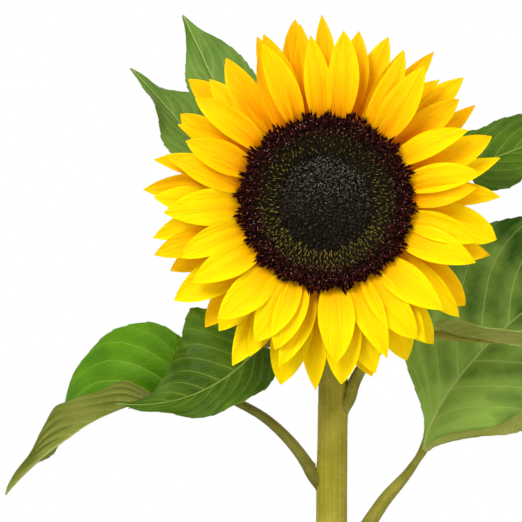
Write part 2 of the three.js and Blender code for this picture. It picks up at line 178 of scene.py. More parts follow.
scene = bpy.context.scene
camera_data = bpy.data.cameras.new("camera")
camera_data.sensor_width = SENSOR
camera_data.lens = SENSOR * VIEW_DISTANCE / VIEW_WIDTH
camera_data.clip_end = 50
camera = bpy.data.objects.new("camera", camera_data)
scene.collection.objects.link(camera)
camera.location = CAMERA_PLACE
camera.rotation_euler = (math.radians(90), 0, 0)
scene.camera = camera
print("lens", round(camera_data.lens, 1), "mm")

# %% [markdown]
# ## Background
# The plant is lit like a studio cut-out, white all round. If one white did both
# jobs it would either look grey behind the plant or wash the petals out. A Light
# Path node splits the two: the camera sees full white, and the plant is lit by a
# dimmer one.

# %% World
scene.view_settings.view_transform = "Standard"
scene.view_settings.look = "None"
world = bpy.data.worlds.new("studio")
scene.world = world
world.use_nodes = True
sky = world.node_tree
sky.nodes.clear()


def sky_light(color, strength):
    node = sky.nodes.new("ShaderNodeBackground")
    node.inputs["Color"].default_value = (*color, 1)
    node.inputs["Strength"].default_value = strength
    return node.outputs[0]


path = sky.nodes.new("ShaderNodeLightPath")
choose = sky.nodes.new("ShaderNodeMixShader")
world_out = sky.nodes.new("ShaderNodeOutputWorld")
sky.links.new(path.outputs["Is Camera Ray"], choose.inputs["Fac"])
sky.links.new(sky_light((0.98, 0.99, 1), 0.72), choose.inputs[1])
sky.links.new(sky_light((1, 1, 1), 1.0), choose.inputs[2])
sky.links.new(choose.outputs[0], world_out.inputs["Surface"])
print("background nodes:", len(sky.nodes))

# %% [markdown]
# ## Lamps
# A large soft key lamp hangs high in front, at the left. A weak fill at the right
# keeps its shadows open, and a lamp behind shines through petals and leaves. A
# sun lamp would be simpler, but its hard shadows would cut the flower up.

# %% Lamps
LAMP_AIM = Vector((0, 0, 0.6))


def lamp(name, place, size, watts):
    data = bpy.data.lights.new(name, "AREA")
    data.shape = "DISK"
    data.size = size
    data.energy = watts
    thing = bpy.data.objects.new(name, data)
    scene.collection.objects.link(thing)
    thing.location = place
    thing.rotation_euler = (LAMP_AIM - Vector(place)).to_track_quat("-Z", "Y").to_euler()


lamp("key", (-0.8, -1.6, 1.7), 0.9, 36)
lamp("fill", (1.3, -1.5, 0.8), 1.2, 9)
lamp("back", (0.5, 1.6, 1.5), 1.0, 14)
print("lamps:", len(bpy.data.lights))

# %% [markdown]
# ## The floor
# A pale round plate under the foot of the stem catches its shadow. A plane would
# do, but a plate with an edge looks like a studio table when the camera is high.
# It is stage, not part of the plant, and lies a hair below the stem's flat foot.

# %% Floor
FLOOR_RADIUS, FLOOR_DEPTH, FLOOR_MIDDLE = 1.6, 0.02, -0.0102

deselect()
bpy.ops.mesh.primitive_cylinder_add(vertices=128, radius=FLOOR_RADIUS, depth=FLOOR_DEPTH,
                                    location=(0, 0, FLOOR_MIDDLE))
floor = bpy.context.object
floor.name = "floor"
bpy.ops.object.transform_apply(location=True)
print("floor radius", FLOOR_RADIUS, "m")

# %% [markdown]
# ## The stem's rule
# The stem rises nearly straight and nods forward under the flower. A smooth curve
# through a few named points gives that course, and the radius falls evenly from
# foot to neck.

# %% Stem rule
STEM_COURSE = [
    (0, 0, 0), (0.5, 0, 150), (2.0, 0, 320), (3.6, 0, 470), (4.6, 0, 560),
    (3.5, -2, 588), (1.5, -12, 614), (-0.3, -23, 630), (-1.5, -35, 638.0), (-1.5, -45, 638.8),
]
FOOT_RADIUS, NECK_RADIUS, NECK_HEIGHT = 12.0, 8.3, 560


def smooth_course(knots, count):
    k = [np.array(p, float) for p in knots]
    k = [2 * k[0] - k[1]] + k + [2 * k[-1] - k[-2]]
    spans = len(k) - 3
    course = []
    for t in np.linspace(0, spans, count):
        i = min(int(t), spans - 1)
        f = t - i
        a, b, c, d = k[i:i + 4]
        cubic = (-a + 3 * b - 3 * c + d) * f ** 3 + (2 * a - 5 * b + 4 * c - d) * f * f
        course.append(0.5 * (2 * b + (c - a) * f + cubic))
    return np.array(course)


def read_course(at, stations, course):
    return np.stack([np.interp(at, stations, course[:, k]) for k in range(3)], -1)


def along_course(course, f):
    return read_course(f, np.linspace(0, 1, len(course)), course)


stem_course = smooth_course(STEM_COURSE, 600)


def stem_at(z):
    return read_course(z, stem_course[:, 2], stem_course)


def stem_radius(z):
    return lerp(FOOT_RADIUS, NECK_RADIUS, held(np.asarray(z) / NECK_HEIGHT))


print("stem radius at foot and neck:", stem_radius(0), stem_radius(NECK_HEIGHT))

# %% [markdown]
# ## The leaves' rule
# A stalk starts on the stem's surface and a blade starts where its stalk ends.
# Both are drawn like a walk. At each step the walker has a heading (turn), a slope
# (rise, then lift to droop) and a bank (roll), and these change evenly along the
# way. Cup and curl bend the two halves of the blade, lobe is the notch at its
# base, and the numbers in shape make its outline blunt or pointed. Each upper leaf
# has its own values. Below them the leaves wind down the stem by the golden angle
# and end in two opposite pairs. Each leaf modelled by itself would take days, and
# one leaf copied would look like plastic.

# %% Leaf values
LEAF_TURN = 137.5


def leaf(name, z, turn, stalk, rise, blade, width, droop, roll, **more):
    rule = dict(swing=0, sweep=0, bend=1, over=(0, 1), sides=(1, 1), shape=(0.6, 1.1), lobe=0.12,
                cup=(10, 10), curl=(5, 5), flatten=1, ruffle=1, point=0, stout=1, lift=rise[1],
                skin="fresh", under="olive", limb="plain", fine=True)
    rule.update(name=name, z=z, turn=turn, stalk=stalk, rise=rise, blade=blade,
                width=width, droop=droop, roll=roll, **more)
    return rule


LEAVES = [
    leaf("right_low", 434, 11, 78, (62, 46), 190, 62, 25, (-62, -66), lift=104, bend=0.3,
         cup=(8, 12), curl=(10, -30), sides=(0.96, 1.12), shape=(1.08, 1.15), lobe=0, waist=0.28,
         hem=13, stout=1.2, skin="sunlit", under="pale"),
    leaf("left_low", 482, 177, 86, (63, 15), 137, 46.5, -43, (62, -54), lift=-8, sweep=46,
         over=(0.12, 0.74), cup=(46, 44), flatten=0.5, curl=(4, 5), sides=(0.38, 1),
         shape=(0.84, 2.15), near=(0.9, 1.2), lifted=(64, 0.43, 0.17), limb="shaded"),
    leaf("right_side", 526, -18, 82, (80, -12), 122, 26, -15, (2, -2), lift=-6, cup=(6, 16),
         sides=(0.75, 1), lobe=0.3, ruffle=0.6, under="pale"),
    leaf("left_side", 562, 200, 38, (20, -30), 91, 46, 8, (60, 52), swing=-6, lift=-50, sweep=-10,
         curl=(10, 10), sides=(0.5, 0.92), shape=(0.6, 2.0), near=(0.4, 1.2), skin="deep"),
    leaf("left_high", 574, 174, 70, (58, 56), 113, 29, 46, (45, 45), sides=(0.85, 0.9), point=0.4,
         ruffle=1.5, skin="painted_sheen"),
    leaf("right_high", 580, 14, 112, (62, 33), 115, 34, 5, (-50, -50), lift=26, cup=(14, 10),
         stout=1.25, sides=(0.66, 0.82), shape=(0.45, 1.8), near=(0.3, 1.7), skin="deep",
         limb="shaded"),
    leaf("left_top", 590, 138, 62, (50, 58), 138, 30, 58, (38, 38), sides=(0.75, 1),
         shape=(0.6, 0.95), point=0.4, ruffle=1.5, skin="painted_sheen"),
]
for i, z in enumerate([398, 352, 308, 262, 214]):
    LEAVES.append(leaf(f"low_{i + 1}", z, 282 - LEAF_TURN * i, 66 + 4 * i, (38, 4), 158 - 4 * i,
                       54 - 2 * i, -42, (6 - 3 * i, -4 + 3 * i), lift=0, cup=(16, 16),
                       curl=(-18, -18), fine=False))
for i, z in enumerate([162, 110]):
    for k, side in enumerate("ab"):
        LEAVES.append(leaf(f"pair_{i + 1}_{side}", z, 24 + 90 * i + 180 * k, 52 - 10 * i, (34, 6),
                           118 - 18 * i, 40 - 6 * i, -40, (4, -4), lift=2, cup=(14, 14),
                           curl=(-14, -14), fine=False))
print("leaves:", len(LEAVES))

# %% [markdown]
# The walk itself: three directions at each step, and the sum of the steps as the
# course. A small gap is left where a stalk starts and where a blade starts, as in
# the solids. The outline says how wide the blade is at each point of its midrib.

# %% Leaf walk
GAP = 0.3


def ways(turn, pitch, roll):
    f, p, r = np.broadcast_arrays(*(np.radians(np.asarray(a, float)) for a in (turn, pitch, roll)))
    along = np.stack([np.cos(p) * np.cos(f), np.cos(p) * np.sin(f), np.sin(p)], -1)
    level = np.stack([np.sin(f), -np.cos(f), 0 * f], -1)
    upright = np.cross(level, along)
    right = level * column(np.cos(r)) + upright * column(np.sin(r))
    return along, right, upright * column(np.cos(r)) - level * column(np.sin(r))


def walk(start, directions, length):
    steps = directions * length / len(directions)
    return start + np.vstack([np.zeros(3), np.cumsum(steps, 0)])


def stalk_course(rule, count=72):
    f = (np.arange(count) + 0.5) / count
    steps = ways(rule["turn"] + rule["swing"] * f, lerp(*rule["rise"], f), 0)[0]
    out = ways(rule["turn"], 0, 0)[0]
    return walk(stem_at(rule["z"]) + out * (stem_radius(rule["z"]) + GAP), steps, rule["stalk"])


def blade_ways(rule, g):
    eased = np.asarray(g, float) ** rule["bend"]
    low, high = rule["over"]
    roll = lerp(*rule["roll"], smooth((g - low) / (high - low)))
    turn = rule["turn"] + rule["swing"] + rule["sweep"] * eased
    return ways(turn, lerp(rule["lift"], rule["droop"], eased), roll)


def blade_course(rule, count=240):
    f = (np.arange(count) + 0.5) / count
    start = stalk_course(rule)[-1] + blade_ways(rule, np.zeros(1))[0][0] * GAP
    return walk(start, blade_ways(rule, f)[0], rule["blade"])


def leaf_outline(g, shape):
    a, b = shape
    top = (a / (a + b)) ** a * (b / (a + b)) ** b
    return (g + 0.003) ** a * np.maximum(0, 1 - g) ** b / top


print("longest blade:", max(rule["blade"] for rule in LEAVES), "mm")

# %% [markdown]
# ## Effects shared by the finishes
# Three effects come back in many finishes: the soft mottling of living tissue,
# streaks that follow a limb or petal, and the veins of a leaf. Copying their nodes
# into each material would work once. As node groups they are built once, and each
# material gives them its own values. They only put out masks and heights, and the
# shaders stay in the materials. These helpers lay one node each.

# %% Node helpers
def feed(tree, socket, value):
    if hasattr(value, "is_output"):
        tree.links.new(value, socket)
    elif value is not None:
        socket.default_value = value


def new_group(name, inputs, outputs):
    group = bpy.data.node_groups.new(name, "ShaderNodeTree")
    for label, value in inputs.items():
        kind = "NodeSocketVector" if value is None else "NodeSocketFloat"
        socket = group.interface.new_socket(label, in_out="INPUT", socket_type=kind)
        if value is not None:
            socket.default_value = value
    for label in outputs:
        group.interface.new_socket(label, in_out="OUTPUT", socket_type="NodeSocketFloat")
    entry, leave = group.nodes.new("NodeGroupInput"), group.nodes.new("NodeGroupOutput")
    return group, entry.outputs, leave.inputs


def math_node(tree, operation, a, b=None, c=None, clamp=False):
    node = tree.nodes.new("ShaderNodeMath")
    node.operation = operation
    node.use_clamp = clamp
    for socket, value in zip(node.inputs, (a, b, c)):
        feed(tree, socket, value)
    return node.outputs[0]


print("node helpers ready, groups so far:", len(bpy.data.node_groups))

# %% [markdown]
# Masks rise or fall smoothly between two values of what feeds them. A hard step
# would be one node fewer, but its edge would look cut out.

# %% Masks, noise and axes
def rise_between(tree, value, low, high):
    node = tree.nodes.new("ShaderNodeMapRange")
    node.interpolation_type = "SMOOTHSTEP"
    node.inputs["From Min"].default_value = low
    node.inputs["From Max"].default_value = high
    tree.links.new(value, node.inputs["Value"])
    return node.outputs[0]


def fall_between(tree, value, low, high):
    return math_node(tree, "SUBTRACT", 1.0, rise_between(tree, value, low, high))


def noise(tree, vector, scale, detail):
    node = tree.nodes.new("ShaderNodeTexNoise")
    node.inputs["Detail"].default_value = detail
    feed(tree, node.inputs["Scale"], scale)
    tree.links.new(vector, node.inputs["Vector"])
    return node.outputs["Fac"]


def axes(tree, vector):
    node = tree.nodes.new("ShaderNodeSeparateXYZ")
    tree.links.new(vector, node.inputs[0])
    return node.outputs


def from_axes(tree, *values):
    node = tree.nodes.new("ShaderNodeCombineXYZ")
    for socket, value in zip(node.inputs, values):
        feed(tree, socket, value)
    return node.outputs[0]


print("helpers for masks, noise and axes ready")

# %% [markdown]
# Mottle is two sizes of noise: broad patches for colour and a grain many times
# finer for the surface.

# %% Group: tissue mottle
GRAIN_FINER = 14.0

mottle_group, entry, leave = new_group(
    "tissue mottle", {"Vector": None, "Scale": 60.0}, ["Patches", "Grain"])
patches = noise(mottle_group, entry["Vector"], entry["Scale"], 4.0)
grain_scale = math_node(mottle_group, "MULTIPLY", entry["Scale"], GRAIN_FINER)
grain = noise(mottle_group, entry["Vector"], grain_scale, 2.0)
mottle_group.links.new(rise_between(mottle_group, patches, 0.3, 0.7), leave["Patches"])
mottle_group.links.new(grain, leave["Grain"])
print("group:", mottle_group.name)

# %% [markdown]
# Streaks are noise squeezed across the limb and stretched along it. They read a
# piece's straightened coordinates, so they follow every bend.

# %% Group: long streaks
streak_group, entry, leave = new_group(
    "long streaks", {"Vector": None, "Across": 1.0, "Along": 0.1}, ["Streaks", "Fine"])
stretched = streak_group.nodes.new("ShaderNodeVectorMath")
stretched.operation = "MULTIPLY"
streak_group.links.new(entry["Vector"], stretched.inputs[0])
scales = from_axes(streak_group, entry["Across"], entry["Across"], entry["Along"])
streak_group.links.new(scales, stretched.inputs[1])
wide = noise(streak_group, stretched.outputs[0], 1.0, 3.0)
streak_group.links.new(rise_between(streak_group, wide, 0.32, 0.68), leave["Streaks"])
streak_group.links.new(noise(streak_group, stretched.outputs[0], 4.0, 2.0), leave["Fine"])
print("group:", streak_group.name)

# %% [markdown]
# Veins read the blade's own coordinates: x runs along the midrib from 0 to 1, y
# across from -1 to 1, and z is the half-width in millimetres. Side veins leave the
# midrib at even steps and sweep forward, a little offset between left and right,
# and fade out where the blade is narrow. A fine net lies between them. The same
# few values shape the raised veins of the mesh later on.

# %% Group: leaf veins
VEIN_STEP = 0.115
VEIN_SWEEP, VEIN_BEND, VEIN_OFFSET = 0.30, 0.10, 0.2
VEIN_SLANT = 1.6
NARROW, BROAD = 3.0, 14.0
NET_SIZE = 3.6

vein_group, entry, leave = new_group(
    "leaf veins", {"Coordinates": None, "Place": None, "Length": 150.0},
    ["Main", "Side", "Net", "Field"])
calc = partial(math_node, vein_group)
g, q, w = axes(vein_group, entry["Coordinates"])
stray = calc("MULTIPLY_ADD", noise(vein_group, entry["Place"], 90.0, 2.0), 0.03, -0.015)
aq = calc("ABSOLUTE", q)
wide_enough = rise_between(vein_group, w, NARROW, BROAD)

midrib = calc("DIVIDE", calc("MULTIPLY", aq, w), calc("MULTIPLY_ADD", g, -0.75, 1.0))
midrib = fall_between(vein_group, midrib, 0.25, 0.95)

swept = calc("MULTIPLY_ADD", calc("MULTIPLY", aq, aq), -VEIN_BEND, g)
swept = calc("MULTIPLY_ADD", aq, -VEIN_SWEEP, swept)
swept = calc("MULTIPLY_ADD", calc("SIGN", q), VEIN_STEP * VEIN_OFFSET, swept)
swept = calc("MULTIPLY_ADD", stray, aq, swept)
turns = calc("DIVIDE", swept, VEIN_STEP)
beyond = calc("FRACT", calc("ADD", turns, 20.0))
near = calc("SUBTRACT", 0.5, calc("ABSOLUTE", calc("SUBTRACT", beyond, 0.5)))
off_mm = calc("MULTIPLY", calc("MULTIPLY", near, VEIN_STEP / VEIN_SLANT), entry["Length"])
side_vein = calc("DIVIDE", off_mm, calc("MULTIPLY_ADD", aq, -0.45, 0.75))
side_vein = calc("MULTIPLY", fall_between(vein_group, side_vein, 0.15, 0.8), wide_enough)

cells = vein_group.nodes.new("ShaderNodeTexVoronoi")
cells.feature = "DISTANCE_TO_EDGE"
cells.inputs["Scale"].default_value = 1.0
across_cells = calc("DIVIDE", calc("MULTIPLY", q, w), NET_SIZE)
net_place = from_axes(vein_group, calc("MULTIPLY", turns, 2.2), across_cells,
                      calc("MULTIPLY", stray, 30.0))
vein_group.links.new(net_place, cells.inputs["Vector"])
net = fall_between(vein_group, cells.outputs["Distance"], 0.0, 0.16)
net = calc("MULTIPLY", net, wide_enough)
for label, value in (("Main", midrib), ("Side", side_vein), ("Net", net), ("Field", near)):
    vein_group.links.new(value, leave[label])
print("groups:", [group.name for group in bpy.data.node_groups])

# %% [markdown]
# ## Helpers for the finishes
# A finish is a Principled shader whose colour is built up in layers. Thin living
# tissue also lets light through from behind, which a Translucent shader mixed in
# by a small share gives at less cost than true scattering.

# %% Material helpers
def new_material(name, roughness, specular=0.3):
    material = bpy.data.materials.new(name)
    material.use_nodes = True
    tree = material.node_tree
    shader = tree.nodes["Principled BSDF"]
    shader.inputs["Roughness"].default_value = roughness
    shader.inputs["Specular IOR Level"].default_value = specular
    return material, tree, shader, partial(math_node, tree)


def attribute(tree, name):
    node = tree.nodes.new("ShaderNodeAttribute")
    node.attribute_name = name
    return node.outputs["Vector"]


def object_place(tree):
    return tree.nodes.new("ShaderNodeTexCoord").outputs["Object"]


def use_group(tree, group, **values):
    node = tree.nodes.new("ShaderNodeGroup")
    node.node_tree = group
    for label, value in values.items():
        feed(tree, node.inputs[label], value)
    return node.outputs


print("material helpers ready, materials so far:", len(bpy.data.materials))

# %% [markdown]
# Layers of colour are mixed by a mask, and relief too fine for the mesh is a bump.

# %% Colour, relief and light
def mix_colors(tree, factor, a, b):
    node = tree.nodes.new("ShaderNodeMix")
    node.data_type = "RGBA"
    feed(tree, node.inputs[0], factor)
    feed(tree, node.inputs[6], (*a, 1) if isinstance(a, tuple) else a)
    feed(tree, node.inputs[7], (*b, 1) if isinstance(b, tuple) else b)
    return node.outputs[2]


def bump(tree, shader, height, distance, strength):
    node = tree.nodes.new("ShaderNodeBump")
    node.inputs["Distance"].default_value = distance
    node.inputs["Strength"].default_value = strength
    tree.links.new(height, node.inputs["Height"])
    tree.links.new(node.outputs[0], shader.inputs["Normal"])


LEAF_GLOW, PETAL_GLOW = 0.1, 0.35


def let_light_through(tree, shader, color, share):
    through = tree.nodes.new("ShaderNodeBsdfTranslucent")
    through.inputs["Color"].default_value = (*color, 1)
    blend = tree.nodes.new("ShaderNodeMixShader")
    blend.inputs["Fac"].default_value = share
    tree.links.new(shader.outputs[0], blend.inputs[1])
    tree.links.new(through.outputs[0], blend.inputs[2])
    tree.links.new(blend.outputs[0], tree.nodes["Material Output"].inputs["Surface"])


print("a leaf lets", LEAF_GLOW, "of the light through, a petal", PETAL_GLOW)

# %% [markdown]
# ## Leaf finishes
# The upper side of a leaf is a rich satin green with sunken, paler veins. Two
# leaves that catch the light get a greyer, lighter green: a painted sheen that
# stands in for reflected light. Two leaves in shade get a darker green, which is
# painted shade. One leaf gets painted light, lighter toward its base and fading
# into painted shade toward its tip. So there are four upper finishes, lit and
# shaded copies of one green. The under side is paler and more olive, with the
# veins raised, and comes in two tones. A painted map could hold all this, but not
# sharply at every size. Each finish has four colours: the dark and the light of
# its patches, its veins, and the light that comes through.

# %% Leaf finishes
PATCHES, BETWEEN_VEINS, LIGHT_SHARE = 0.58, -0.25, 0.36
NET_TONE, SIDE_TONE, MIDRIB_TONE = 0.06, 0.5, 0.8
LIT_REACH = 0.47


def leaf_material(name, colors, roughness, vein_height, lit_base=0.0):
    dark, light, vein, through = colors
    material, tree, shader, calc = new_material(name, roughness, 0.12)
    place, blade = object_place(tree), attribute(tree, "blade")
    veins = use_group(tree, vein_group, Coordinates=blade, Place=place, Length=150.0)
    mottle = use_group(tree, mottle_group, Vector=place, Scale=42.0)
    field = calc("MULTIPLY", rise_between(tree, veins["Field"], 0.0, 0.5), BETWEEN_VEINS)
    share = calc("MULTIPLY_ADD", mottle["Patches"], PATCHES, field)
    # Painted light and shade: with lit_base the share rises toward the blade's base and falls
    # toward its tip.
    share = calc("ADD", share, LIT_REACH * lit_base)
    share = calc("MULTIPLY_ADD", axes(tree, blade)[0], -lit_base, share)
    color = mix_colors(tree, calc("ADD", share, LIGHT_SHARE, clamp=True), dark, light)
    color = mix_colors(tree, calc("MULTIPLY", veins["Net"], NET_TONE), color, vein)
    lines = calc("MAXIMUM", calc("MULTIPLY", veins["Side"], SIDE_TONE),
                 calc("MULTIPLY", veins["Main"], MIDRIB_TONE))
    tree.links.new(mix_colors(tree, lines, color, vein), shader.inputs["Base Color"])
    height = calc("MULTIPLY", lines, vein_height)
    height = calc("MULTIPLY_ADD", veins["Net"], 0.25 * vein_height, height)
    height = calc("MULTIPLY_ADD", mottle["Grain"], 0.06, height)
    bump(tree, shader, height, distance=0.0006, strength=0.8)
    let_light_through(tree, shader, through, LEAF_GLOW)
    return material


UPPER_COLORS = {
    "fresh": ((0.045, 0.14, 0.001), (0.105, 0.25, 0.002), (0.28, 0.42, 0.05), (0.16, 0.42, 0.002)),
    # Painted shade: the deep finish is a darker green for the leaves that lie in shade.
    "deep": ((0.022, 0.06, 0.001), (0.08, 0.165, 0.003), (0.3, 0.4, 0.08), (0.12, 0.3, 0.002)),
    # Painted sheen: a greyer, lighter green for the leaves that catch the light.
    "painted_sheen": ((0.07, 0.155, 0.01), (0.165, 0.275, 0.04), (0.4, 0.5, 0.16), (0.16, 0.36, 0.01)),
    # Painted light: a brighter copy of the green for the leaf that faces the lamp.
    "sunlit": ((0.026, 0.084, 0.002), (0.27, 0.43, 0.06), (0.46, 0.54, 0.15), (0.2, 0.4, 0.02)),
}
UNDER_COLORS = {
    "olive": ((0.115, 0.135, 0.012), (0.205, 0.225, 0.035), (0.38, 0.4, 0.11), (0.2, 0.35, 0.02)),
    "pale": ((0.19, 0.215, 0.022), (0.33, 0.35, 0.075), (0.52, 0.53, 0.2), (0.24, 0.4, 0.03)),
}
LEAF_SKINS = {
    name: leaf_material("leaf_" + name, colors, 0.5, -0.6, 1.5 if name == "sunlit" else 0.0)
    for name, colors in UPPER_COLORS.items()}
UNDER_SKINS = {
    name: leaf_material("under_" + name, colors, 0.65, 0.8)
    for name, colors in UNDER_COLORS.items()}
print("leaf finishes:", list(LEAF_SKINS), list(UNDER_SKINS))

# %% [markdown]
# ## Petal finishes
# Petals run from orange at the base, through gold down the middle, to lemon at the
# edges and the tip. The orange at the base and the gold down the middle are
# painted shade. Those at the top of the flower are the most golden, which is
# painted shade too. Both gradients follow each petal by its own coordinates, and
# the warmth is dealt out petal by petal as one of three finishes. Light that comes
# through a petal is orange, which keeps the shadows between the petals warm.

# %% Petal finishes
BASE_SHADE_PAINTED, BASE_REACH = 0.62, 0.7
MIDDLE_SHADE_PAINTED, STREAK_TONE = 0.34, 0.2


def petal_material(name, blade_color, base_color):
    material, tree, shader, calc = new_material(name, 0.55, 0.05)
    along, across, _ = axes(tree, attribute(tree, "petal"))
    straight = attribute(tree, "straight")
    streaks = use_group(tree, streak_group, Vector=straight, Across=0.8, Along=0.04)
    # Painted shade: gold down the middle of the petal and orange toward its base.
    middle = calc("MULTIPLY_ADD", calc("POWER", across, 2.0), -MIDDLE_SHADE_PAINTED, MIDDLE_SHADE_PAINTED)
    share = calc("MULTIPLY_ADD", fall_between(tree, along, 0.0, BASE_REACH), BASE_SHADE_PAINTED, middle)
    share = calc("MULTIPLY_ADD", streaks["Streaks"], STREAK_TONE, share, clamp=True)
    tree.links.new(mix_colors(tree, share, blade_color, base_color), shader.inputs["Base Color"])
    height = calc("ADD", streaks["Streaks"], streaks["Fine"])
    bump(tree, shader, height, distance=0.0004, strength=0.7)
    let_light_through(tree, shader, (1.0, 0.60, 0.0), PETAL_GLOW)
    return material


PETAL_SKINS = [
    petal_material("petal_lemon", (1.0, 0.98, 0.0005), (1.0, 0.55, 0.0005)),
    petal_material("petal_golden", (1.0, 0.84, 0.0005), (1.0, 0.42, 0.0005)),
    petal_material("petal_amber", (1.0, 0.74, 0.0005), (0.98, 0.34, 0.0005)),
]
print("petal finishes:", [material.name for material in PETAL_SKINS])

# %% [markdown]
# ## Finishes of the limbs
# Stem and stalks are fleshy rods with long paler and darker streaks and a fine
# grain. One function makes them all, and each limb gives its own three greens.
# Two of the stalks lie in shade, and their darker finish is painted shade.

# %% Limb finishes
def limb_material(name, deep, pale, streak, roughness):
    material, tree, shader, calc = new_material(name, roughness, 0.12)
    straight = attribute(tree, "straight")
    lines = use_group(tree, streak_group, Vector=straight, Across=0.8, Along=0.03)
    mottle = use_group(tree, mottle_group, Vector=object_place(tree), Scale=70.0)
    color = mix_colors(tree, mottle["Patches"], deep, pale)
    color = mix_colors(tree, calc("MULTIPLY", lines["Streaks"], 0.18), color, streak)
    tree.links.new(color, shader.inputs["Base Color"])
    height = calc("MULTIPLY_ADD", lines["Fine"], 0.3, lines["Streaks"])
    height = calc("MULTIPLY_ADD", mottle["Grain"], 0.8, height)
    bump(tree, shader, height, distance=0.0004, strength=0.7)
    return material


LIMB_FINISHES = [
    ("stem_skin", (0.255, 0.22, 0.014), (0.355, 0.305, 0.034), (0.2, 0.155, 0.008), 0.6),
    ("stalk_skin", (0.175, 0.158, 0.012), (0.28, 0.258, 0.034), (0.14, 0.105, 0.007), 0.6),
    # Painted shade: a darker copy of the stalk's greens.
    ("stalk_shaded", (0.11, 0.1, 0.009), (0.2, 0.18, 0.026), (0.09, 0.07, 0.006), 0.6),
    ("bract_green", (0.09, 0.17, 0.02), (0.17, 0.28, 0.05), (0.22, 0.3, 0.08), 0.65),
    ("pith_green", (0.16, 0.22, 0.04), (0.24, 0.3, 0.08), (0.14, 0.16, 0.03), 0.7),
]
stem_skin, stalk_skin, stalk_shaded, bract_green, pith_green = (
    limb_material(*row) for row in LIMB_FINISHES)
STALK_SKINS = {"plain": stalk_skin, "shaded": stalk_shaded}
print("limb finishes:", [row[0] for row in LIMB_FINISHES])

# %% [markdown]
# ## Finishes of the disc
# The disc looks almost black, but each of its parts has its own tone: maroon open
# florets with reddish tips, olive chaff, charcoal buds and grey down. Colour
# climbs each small part from low to tip, by an attribute that its points carry:
# x is the height, y its brightness and z how much of the tip's colour it gets.
# The gloss is kept very low, or the dark parts would turn blue-grey.

# %% Disc finishes
def floret_material(name, low, high, tip, roughness, tip_from):
    material, tree, shader, calc = new_material(name, roughness, 0.03)
    height, brightness, tip_share = axes(tree, attribute(tree, "floret"))
    mottle = use_group(tree, mottle_group, Vector=object_place(tree), Scale=400.0)
    shade = calc("MULTIPLY_ADD", mottle["Patches"], 0.4, brightness, clamp=True)
    share = calc("MULTIPLY", rise_between(tree, height, tip_from, 1.0), tip_share)
    color = mix_colors(tree, share, mix_colors(tree, shade, low, high), tip)
    tree.links.new(color, shader.inputs["Base Color"])
    bump(tree, shader, mottle["Grain"], distance=0.0002, strength=0.6)
    return material


DISC_FINISHES = [
    ("open_maroon", (0.005, 0.001, 0.0012), (0.036, 0.006, 0.005), (0.2, 0.04, 0.03), 0.75, 0.6),
    ("awn_maroon", (0.01, 0.002, 0.002), (0.085, 0.016, 0.012), (0.42, 0.12, 0.08), 0.7, 0.4),
    ("chaff_olive", (0.006, 0.004, 0.001), (0.055, 0.04, 0.006), (0.52, 0.39, 0.06), 0.6, 0.35),
    ("bud_charcoal", (0.004, 0.003, 0.0015), (0.016, 0.012, 0.007), (0.06, 0.05, 0.035), 0.7, 0.5),
    ("down_grey", (0.008, 0.0065, 0.0035), (0.11, 0.096, 0.066), (0.62, 0.57, 0.45), 0.65, 0.3),
    ("speck_pink", (0.12, 0.035, 0.025), (0.36, 0.14, 0.11), (0.78, 0.52, 0.47), 0.6, 0.2),
]
(open_maroon, awn_maroon, chaff_olive, bud_charcoal, down_grey,
 speck_pink) = (floret_material(*row) for row in DISC_FINISHES)
print("disc finishes:", [row[0] for row in DISC_FINISHES])

# %% [markdown]
# The hairs on the limbs are pale, and the floor is a plain off-white. Even these
# get a little mottle, because a flat colour looks unreal in a close view.

# %% Hair and floor finishes
def plain_mottle(name, low, high, scale, roughness):
    material, tree, shader, _ = new_material(name, roughness)
    mottle = use_group(tree, mottle_group, Vector=object_place(tree), Scale=scale)
    tree.links.new(mix_colors(tree, mottle["Patches"], low, high), shader.inputs["Base Color"])
    return material


hair_pale = plain_mottle("hair_pale", (0.55, 0.56, 0.3), (0.75, 0.76, 0.52), 200.0, 0.6)
floor_pale = plain_mottle("floor_pale", (0.8, 0.8, 0.79), (0.84, 0.84, 0.83), 6.0, 0.8)
floor.data.materials.append(floor_pale)
print("materials:", len(bpy.data.materials))

# %% [markdown]
# ## A rod blank
# Stem, stalks, receptacle and even the small florets are all rods or turned
# shapes. A cylinder's upright edges are selected by their direction and cut into
# even rings. Each point then knows how far along the rod it is (f) and at what
# angle round it, which is all that the rules need.

# %% Rod blank
def rod_blank(name, sides, cuts):
    deselect()
    bpy.ops.mesh.primitive_cylinder_add(vertices=sides, radius=1, depth=1, end_fill_type="NGON")
    rod = bpy.context.object
    rod.name = name
    rod.data.name = name
    bpy.ops.object.mode_set(mode="EDIT")
    bpy.ops.mesh.select_mode(type="EDGE")
    bpy.ops.mesh.select_all(action="DESELECT")
    bm = bmesh.from_edit_mesh(rod.data)
    for edge in bm.edges:
        edge.select_set(abs(edge.verts[0].co.z - edge.verts[1].co.z) > 0.5)
    bmesh.update_edit_mesh(rod.data)
    bpy.ops.mesh.subdivide(number_cuts=cuts)
    bpy.ops.object.mode_set(mode="OBJECT")
    blank = points_of(rod)
    return rod, blank[:, 2] + 0.5, np.arctan2(blank[:, 1], blank[:, 0])


def turned(angle, radius, along):
    """Points of a straight upright rod."""
    return np.stack([np.cos(angle) * radius, np.sin(angle) * radius, along], -1)


def around(centre, across, up, angle, radius, tall=1):
    """Points round the centres of a bent rod, by its two cross directions."""
    across_by, up_by = np.cos(angle) * radius, np.sin(angle) * radius * tall
    return centre + across * column(across_by) + up * column(up_by)


def finish_rod(rod, points, straight, material):
    write_points(rod, points)
    write_attribute(rod, "straight", straight)
    rod.data.materials.append(material)
    smooth_shade(rod)
    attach(rod, "root")


print("a point a quarter round:", turned(math.pi / 2, 1, 0).round(2))

